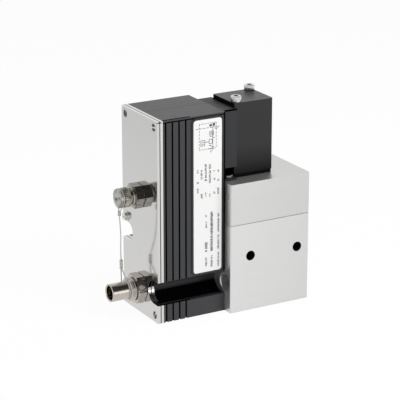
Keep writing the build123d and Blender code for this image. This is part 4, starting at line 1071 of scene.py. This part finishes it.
@dataclass
class Solenoid(SubAssembly):
    """Solenoid on the block: casing, knurled screws, coil and the moving core."""

    casing_edge_mm: float = 0.3
    knurls: int = 26
    knurl_mm: float = 0.22
    socket_mm: float = 3.0
    socket_deep_mm: float = 2.2

    def build(self) -> None:
        """Dress the solenoid."""
        self.ease("solenoid_dark", self.casing_edge_mm, "solenoid_casing")
        self.ease("flange_black", self.casing_edge_mm, "solenoid_flange", slot="solenoid_dark")
        self.keep("iron_soft", "solenoid_spacer", "pole_piece", "armature", "end_stop")
        self.keep("steel_ground", "guide_tube", "push_rod")
        self.keep("bobbin_white", "bobbin")
        self.keep("copper", "coil", "coil_contacts")
        self.screws()

    def screws(self) -> None:
        """Make the socket-head screws: the head's radius has knurls as a cosine of the turn, which fade
        at its chamfered top, and the socket's rows take the hexagon's radius."""
        for index, solid in enumerate(islands("solenoid_screws")):
            low, high = solid.min(0), solid.max(0)
            form = Turned(Axis.Z, tuple((low + high) / 2), 240)
            head = (high[0] - low[0]) / 2
            flat = np.ones(form.sides)
            knurled = head - self.knurl_mm * MM * (0.5 - 0.5 * np.cos(self.knurls * form.angles))
            socket = form.hexagon(self.socket_mm * MM)
            top, under, shank = high[2], high[2] - 4.0 * MM, 2.0 * MM
            deep = top - self.socket_deep_mm * MM
            rows = [(deep, 0 * flat), (deep, socket), (top, socket), (top, (head - 0.5 * MM) * flat),
                    (top - 0.15 * MM, (head - 0.25 * MM) * flat), (top - 0.45 * MM, knurled),
                    (under + 0.3 * MM, knurled), (under, (head - 0.25 * MM) * flat),
                    (under, shank * flat), (low[2], shank * flat), (low[2], 0 * flat)]
            self.add(form.build(f"solenoid_screw_{index + 1}", np.array([row[0] for row in rows]),
                                np.array([row[1] for row in rows]), sharp=50.0),
                     "socket_zinc", "solenoid_screws", slot="screw_zinc")


@dataclass
class MainConnector(SubAssembly):
    """M12 connector: plated body with its thread and hexagon, insulator and rounded pins."""

    pitch_mm: float = 1.35
    thread_deep_mm: float = 0.6
    mouth_mm: float = 0.45
    tail_mm: float = 5.6
    relief_mm: float = 5.7
    relief_length_mm: float = 1.1

    def build(self) -> None:
        """Make the body, insulator and pins."""
        self.body_piece()
        self.insert()
        self.pins()
        self.keep("connector_nickel", "main_connector_nut")
        self.keep("seal_black", "main_connector_seal")

    def body_piece(self) -> None:
        """Make the body as one closed profile turned about X.

        The barrel is plain; the thread's radius falls and rises as a cosine of the distance less the
        turn; the hexagon's radius is the smaller of the hexagon and a chamfer's cone.
        """
        low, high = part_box("main_connector_body")
        centre = middle("main_connector_body")
        form = Turned(Axis.X, tuple(centre), 144)
        round_ = np.ones(form.sides)
        barrel, bore, across = 6.0 * MM, 4.8 * MM, high.z - low.z
        hexagon = form.hexagon(across)
        x0 = low.x
        face = high.x - 8.3 * MM
        thread0, hex0 = face - 10.4 * MM, face - 6.3 * MM
        relief, tail = thread0 - self.relief_length_mm * MM, self.tail_mm * MM
        rows = [(x0, bore + self.mouth_mm * MM * round_), (x0, (barrel - 0.3 * MM) * round_),
                (x0 + 0.3 * MM, barrel * round_), (relief, barrel * round_),
                (relief, self.relief_mm * MM * round_), (thread0, self.relief_mm * MM * round_),
                (thread0, 7.0 * MM * round_)]
        steps = np.linspace(0.0, 1.0, 60)
        span = hex0 - 0.5 * MM - thread0
        for step in steps:
            x = thread0 + span * step
            wave = 0.5 - 0.5 * np.cos(2 * pi * (x - thread0) / (self.pitch_mm * MM) - form.angles)
            fade = min(1.0, step * 6)
            rows.append((x, 7.0 * MM + 0.9 * MM * fade - self.thread_deep_mm * MM * wave * fade))
        rows += [(hex0 - 0.5 * MM, 7.1 * MM * round_), (hex0, 7.1 * MM * round_)]
        for inset in (0.0, 0.4):
            rows.append((hex0 + inset * MM, np.minimum(hexagon, across / 2 * (1.03 + 0.28 * inset) * round_)))
        rows += [(hex0 + 0.8 * MM, hexagon), (face - 0.7 * MM, hexagon),
                 (face - 0.3 * MM, np.minimum(hexagon, across / 2 * 1.06 * round_)),
                 (face - 0.3 * MM, 8.4 * MM * round_), (face, 8.4 * MM * round_),
                 (face, tail * round_), (high.x, tail * round_), (high.x, bore * round_),
                 (x0 + 0.5 * MM, bore * round_)]
        along = np.array([row[0] for row in rows])
        radii = np.array([row[1] for row in rows])
        self.add(form.build("main_connector_shell", along, radii, closed=True, sharp=32.0),
                 "connector_nickel", "main_connector_body")

    def insert(self) -> None:
        """Make the insulator: a turned plug with a raised rim and a dished face."""
        low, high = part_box("main_connector_insert")
        radius = (high.z - low.z) / 2
        form = Turned(Axis.X, tuple(middle("main_connector_insert")), 72)
        rows = [(low.x + 0.5 * MM, 0.0), (low.x + 0.5 * MM, radius - 0.9 * MM), (low.x, radius - 0.7 * MM),
                (low.x, radius - 0.2 * MM), (low.x + 0.2 * MM, radius), (high.x, radius), (high.x, 0.0)]
        radii = np.array([row[1] * np.ones(form.sides) for row in rows])
        self.add(form.build("main_connector_plug", np.array([row[0] for row in rows]), radii),
                 "insulator_black", "main_connector_insert")

    def pins(self) -> None:
        """Make the pins with rounded tips: near the tip the radius follows a quarter circle."""
        for index, solid in enumerate(islands("main_connector_pins")):
            low, high = solid.min(0), solid.max(0)
            radius = (high[2] - low[2]) / 2
            form = Turned(Axis.X, tuple((low + high) / 2), 24)
            swing = np.linspace(0.0, pi / 2, 8)
            along = np.concatenate((low[0] + radius * (1 - np.cos(swing)), [high[0], high[0]]))
            sizes = np.concatenate((radius * np.sin(swing), [radius, 0.0]))
            self.add(form.build(f"main_pin_{index + 1}", along, sizes[:, None] * np.ones(form.sides)),
                     "contact_gold", "main_connector_pins")


@dataclass
class ServiceConnector(SubAssembly):
    """Service connector with its knurled, screwed cap."""

    knurls: int = 28
    knurl_mm: float = 0.35

    def build(self) -> None:
        """Dress the connector and make the cap."""
        self.ease("connector_black", 0.3, "service_connector_body")
        self.ease("connector_nickel", 0.15, "service_collar")
        self.keep("insulator_black", "service_connector_insert")
        self.keep("contact_gold", "service_connector_pins")
        self.keep("connector_nickel", "service_connector_nut")
        self.keep("seal_black", "service_connector_seal")
        self.cap()
        piece = eased_copy("cap_disc", 0.15)
        self.add(piece, "cap_light", "cap_disc", body="cap")

    def cap(self) -> None:
        """Make the cap as one closed profile turned about X, with straight knurls.

        On the skirt the radius is cut by a raised cosine of the turn to the third power, which leaves
        broad ribs between narrow grooves.
        """
        low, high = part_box("service_cap")
        form = Turned(Axis.X, tuple(middle("service_cap")), 336)
        flat = np.ones(form.sides)
        outer = (high.z - low.z) / 2
        ribs = outer - self.knurl_mm * MM * (0.5 + 0.5 * np.cos(self.knurls * form.angles)) ** 3
        x0, x1 = low.x, high.x
        groove0 = x0 + 0.4 * MM
        groove1 = groove0 + 1.5 * MM
        bore, depth = 4.1 * MM, x0 + 1.3 * MM
        rows = [(x0, 0 * flat), (x0, outer * flat), (groove0, outer * flat), (groove0, 5.0 * MM * flat),
                (groove1, 5.0 * MM * flat), (groove1, (outer - 0.3 * MM) * flat),
                (groove1 + 0.3 * MM, ribs), (x1 - 0.9 * MM, ribs), (x1 - 0.6 * MM, (outer - 0.05 * MM) * flat),
                (x1 - 0.3 * MM, (outer - 0.05 * MM) * flat), (x1, (outer - 0.35 * MM) * flat),
                (x1, bore * flat), (depth, bore * flat), (depth, 0 * flat)]
        self.add(form.build("service_cap_knurled", np.array([row[0] for row in rows]),
                            np.array([row[1] for row in rows]), sharp=40.0),
                 "cap_olive", "service_cap", body="cap")


@dataclass
class Lanyard(SubAssembly):
    """Lanyard: a loop in the cap's groove, a slack cord, a crimp and a loop round the connector."""

    diameter: float = 0.0008
    length: float = 0.0326
    route: tuple[Point, ...] = (
        (-0.09695, -0.0220, 0.0309), (-0.09635, -0.0222, 0.0225), (-0.09585, -0.0215, 0.0140),
        (-0.0952, -0.0195, 0.0060), (-0.0939, -0.0176, -0.0013),
    )
    strands: int = 6
    lay: float = 0.0035

    def centreline(self) -> np.ndarray:
        """Return the points of a smooth NURBS line through the cord's route."""
        curve = bpy.data.curves.new("cord_route", "CURVE")
        curve.dimensions = "3D"
        curve.resolution_u = 24
        spline = curve.splines.new("NURBS")
        spline.points.add(len(self.route) - 1)
        for point, place in zip(spline.points, self.route):
            point.co = (*place, 1.0)
        spline.order_u = 3
        spline.use_endpoint_u = True
        holder = bpy.data.objects.new("cord_route", curve)
        bpy.context.scene.collection.objects.link(holder)
        graph = bpy.context.evaluated_depsgraph_get()
        mesh = bpy.data.meshes.new_from_object(holder.evaluated_get(graph))
        points = np.array([tuple(vertex.co) for vertex in mesh.vertices])
        bpy.data.objects.remove(holder)
        bpy.data.meshes.remove(mesh)
        return points

    def loop_path(self, centre: Vector, start: Point, ring: float) -> np.ndarray:
        """Return the path of a loop: a straight strand, an arc round the centre and a strand back.

        The strands touch the arc where the angle from the line to the start has the ring's radius
        over the start's distance as its cosine.

        Args:
            centre: Centre of the ring.
            start: Where both strands meet, in the row frame.
            ring: Radius of the arc.
        """
        x = start[0]
        away = np.array([start[1] - centre.y, start[2] - centre.z])
        reach = float(np.hypot(*away))
        heading = atan2(away[1], away[0])
        half = acos(ring / reach)
        turn = np.linspace(heading + half, heading + 2 * pi - half, 72)
        arc = np.stack([centre.y + ring * np.cos(turn), centre.z + ring * np.sin(turn)], -1)
        side = np.array([-sin(heading), cos(heading)]) * (self.diameter * 0.55)
        ends = [np.array([start[1], start[2]]) + side, np.array([start[1], start[2]]) - side]
        share = np.linspace(0.0, 1.0, 14)[:-1, None]
        strand_in = ends[0] * (1 - share) + arc[0] * share
        strand_out = arc[-1] * (1 - share[1:]) + ends[1] * share[1:]
        flat = np.concatenate([strand_in, arc, strand_out, ends[1][None]])
        return np.concatenate([np.full((len(flat), 1), x), flat], axis=1)

    def crimp(self, name: str, low: Vector, high: Vector) -> bpy.types.Object:
        """Make a crimp sleeve along Z, pinched at two places.

        The radius falls by a bell of the distance from each pinch, most on the two pressed sides.
        """
        centre = (low + high) / 2
        form = Turned(Axis.Z, tuple(centre), 48)
        radius = (high.x - low.x) / 2
        share = np.linspace(0.0, 1.0, 40)
        pinch = sum(np.exp(-((share - place) / 0.09) ** 2) for place in (0.3, 0.7))
        press = 0.22 * np.cos(form.angles)[None, :] ** 2 * pinch[:, None]
        edge = np.minimum(1.0, 0.82 + 6 * np.minimum(share, 1 - share))
        radii = radius * edge[:, None] * (1 - press)
        along = low.z + (high.z - low.z) * share
        along = np.concatenate(([along[0]], along, [along[-1]]))
        radii = np.concatenate((0 * radii[:1], radii, 0 * radii[:1]))
        return form.build(name, along, radii, sharp=45.0)

    def build(self) -> None:
        """Make the cord, the loops and the crimps."""
        points = self.centreline()
        cord = tube("lanyard_strand", points, self.diameter / 2, 24, self.strands, self.lay)
        self.add(cord, "cord_light", "lanyard_cord", ride=False)
        log.info("cord measures %.4f m", float(np.linalg.norm(np.diff(points, axis=0), axis=1).sum()))
        upper_low, upper_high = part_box("lanyard_upper_loop")
        crimp_low = Vector((upper_low.x, self.route[0][1] - 1.1 * MM, upper_low.z))
        crimp_high = Vector((upper_high.x, self.route[0][1] + 1.1 * MM, upper_low.z + 3.0 * MM))
        cap = middle("service_cap")
        start = (self.route[0][0], self.route[0][1], crimp_high.z - 0.3 * MM)
        ring = upper_high.z - cap.z - self.diameter / 2
        path = self.loop_path(cap, start, ring)
        upper = tube("lanyard_cap_loop", path, self.diameter / 2, 20, self.strands, self.lay)
        self.add(upper, "cord_light", "lanyard_upper_loop", body="cap_carrier")
        self.add(self.crimp("lanyard_cap_crimp", crimp_low, crimp_high), "crimp_nickel",
                 "lanyard_upper_loop", body="cap_carrier")
        low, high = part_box("lanyard_crimp")
        self.add(self.crimp("lanyard_lower_crimp", low, high), "crimp_nickel", "lanyard_crimp")
        loop_low, loop_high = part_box("lanyard_lower_loop")
        body = middle("main_connector_body")
        lower_start = ((loop_low.x + loop_high.x) / 2, (low.y + high.y) / 2, low.z + 0.2 * MM)
        lower_ring = body.z - loop_low.z - self.diameter / 2
        lower = self.loop_path(body, lower_start, lower_ring)
        self.add(tube("lanyard_barrel_loop", lower, self.diameter / 2, 20, self.strands, self.lay),
                 "cord_light", "lanyard_lower_loop")
        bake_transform(cord)


@dataclass
class Electronics(SubAssembly):
    """Boards, components and the pressure sensor inside the housing."""

    def build(self) -> None:
        """Dress what lies inside the housing."""
        self.keep("board_green", "connector_board", "circuit_board")
        self.keep("screw_zinc", "board_screws")
        self.keep("chip_black", "board_header", "microcontroller", "power_transistor")
        self.keep("can_silver", "capacitor", "pressure_sensor")
        self.keep("seal_black", "sensor_seal")


@dataclass(frozen=True)
class Lamp:
    """Square area lamp, placed by direction and distance from the object's middle."""

    name: str
    azimuth: float
    elevation: float
    distance: float
    size: float
    power: float
    mirrored: bool = True

    def build(self, target: Vector) -> None:
        """Make the lamp, pointing at the target, and seen in reflections or not."""
        data = bpy.data.lights.new(self.name, "AREA")
        data.shape, data.size, data.energy = "SQUARE", self.size, self.power
        lamp = bpy.data.objects.new(self.name, data)
        bpy.context.scene.collection.objects.link(lamp)
        lamp.visible_glossy = self.mirrored
        level = cos(radians(self.elevation))
        away = Vector((sin(radians(self.azimuth)) * level, -cos(radians(self.azimuth)) * level,
                       sin(radians(self.elevation))))
        lamp.location = target + away * self.distance
        lamp.rotation_euler = (-away).to_track_quat("-Z", "Y").to_euler()


@dataclass(frozen=True)
class Studio:
    """Plain pale studio: camera, lamps, floor and white surroundings."""

    azimuth: float = -29.63
    elevation: float = 18.26
    distance: float = 1.1931
    lens: float = 162.96
    aside: float = -0.0065
    above: float = 0.00086
    target: Point = (-0.033, -0.028, 0.032)
    fill: float = 0.35
    ceiling: float = 0.04
    left_wall: float = 0.82
    floor_shine: float = 0.95
    floor_size: float = 6.0
    lamps: tuple[Lamp, ...] = (
        Lamp("key", 25.0, 42.0, 1.1, 0.7, 7.0, mirrored=False),
        Lamp("left", -75.0, 25.0, 1.2, 0.8, 1.1),
        Lamp("horizon", 28.0, 1.0, 1.2, 0.2, 0.6),
        Lamp("top", 10.0, 82.0, 1.1, 0.6, 5.0, mirrored=False),
    )

    def camera(self) -> None:
        """Place the camera at the photograph's angle, by azimuth, elevation, distance and offsets."""
        turn, tilt = radians(self.azimuth), radians(self.elevation)
        forward = Vector((-sin(turn) * cos(tilt), cos(turn) * cos(tilt), -sin(tilt)))
        right = Vector((cos(turn), sin(turn), 0.0))
        up = right.cross(forward)
        data = bpy.data.cameras.new("photo_camera")
        data.sensor_width, data.lens, data.clip_end = 36.0, self.lens, 20.0
        camera = bpy.data.objects.new("photo_camera", data)
        bpy.context.scene.collection.objects.link(camera)
        camera.location = Vector(self.target) - forward * self.distance + right * self.aside + up * self.above
        camera.rotation_euler = forward.to_track_quat("-Z", "Y").to_euler()
        bpy.context.scene.camera = camera

    def surroundings(self) -> None:
        """Light the world evenly, and show it white to the camera and, below the ceiling, in reflections."""
        world = bpy.data.worlds.new("studio")
        world.use_nodes = True
        bpy.context.scene.world = world
        tree = world.node_tree
        tree.nodes.clear()
        graph = Tree(tree)
        rays = tree.nodes.new("ShaderNodeLightPath")
        seen = Value(graph, rays.outputs["Is Camera Ray"]) + Value(graph, rays.outputs["Is Transmission Ray"])
        mirror = Value(graph, rays.outputs["Is Glossy Ray"])
        direction = graph.node("ShaderNodeTexCoord", result="Generated")
        across, deep, height = (graph.node("ShaderNodeSeparateXYZ", {}, {0: direction}, axis)
                                for axis in range(3))
        overhead = height.above(0.36, 0.1) * (1.0 - deep.above(0.15, 0.2))
        leftward = 1.0 - across.above(-0.35, 0.3)
        shine = (1.0 - overhead * (1.0 - self.ceiling)) * (1.0 - leftward * (1.0 - self.left_wall))
        level = seen.math("MAXIMUM", mirror * shine).math("MAXIMUM", (1.0 - mirror) * self.fill)
        shade = graph.node("ShaderNodeBackground", {}, {"Color": (1.0, 1.0, 1.0), "Strength": level})
        out = tree.nodes.new("ShaderNodeOutputWorld")
        tree.links.new(shade.socket, out.inputs["Surface"])

    def floor(self, height: float) -> None:
        """Lay a white floor that keeps the object's shadow but looks white to the camera.

        Args:
            height: The floor's height in the row frame.
        """
        half = self.floor_size / 2
        points = np.array([(-half, -half, height), (half, -half, height), (half, half, height),
                           (-half, half, height)])
        piece = mesh_piece("floor", points, np.array([(0, 1, 2, 3)]), tidy=False)
        graph = Graph("floor_white")
        graph.set(Base_Color=(0.9, 0.9, 0.9), Roughness=0.9, Specular_IOR_Level=0.1)
        rays = graph.tree.nodes.new("ShaderNodeLightPath")
        seen = Value(graph, rays.outputs["Is Camera Ray"])
        mirror = Value(graph, rays.outputs["Is Glossy Ray"])
        level = 1.0 - (1.0 - graph.axes()[0].above(-0.15, 0.15)) * (1.0 - self.left_wall)
        glow = graph.node("ShaderNodeEmission", {}, {"Strength": seen.math("MAXIMUM", level)})
        graph.cover(seen.math("MAXIMUM", mirror) * self.floor_shine, glow)
        piece.data.materials.append(graph.material)
        piece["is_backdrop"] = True

    def build(self, floor_height: float) -> None:
        """Set up the whole studio."""
        scene = bpy.context.scene
        scene.view_settings.view_transform = "Standard"
        self.camera()
        self.surroundings()
        self.floor(floor_height)
        for lamp in self.lamps:
            lamp.build(Vector(self.target))


def main() -> None:
    """Build the studio and every sub-assembly."""
    logging.basicConfig(level=logging.INFO, format="%(name)s: %(message)s")
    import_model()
    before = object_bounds()
    Studio().build(before[0][2])
    wardrobe = Wardrobe()
    for part in (Housing, Label, ValveBlock, Solenoid, MainConnector, ServiceConnector, Lanyard,
                 Electronics):
        part(wardrobe).build()
        log.info("%s is built", part.__name__)
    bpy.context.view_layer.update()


if __name__ == "__main__":
    main()
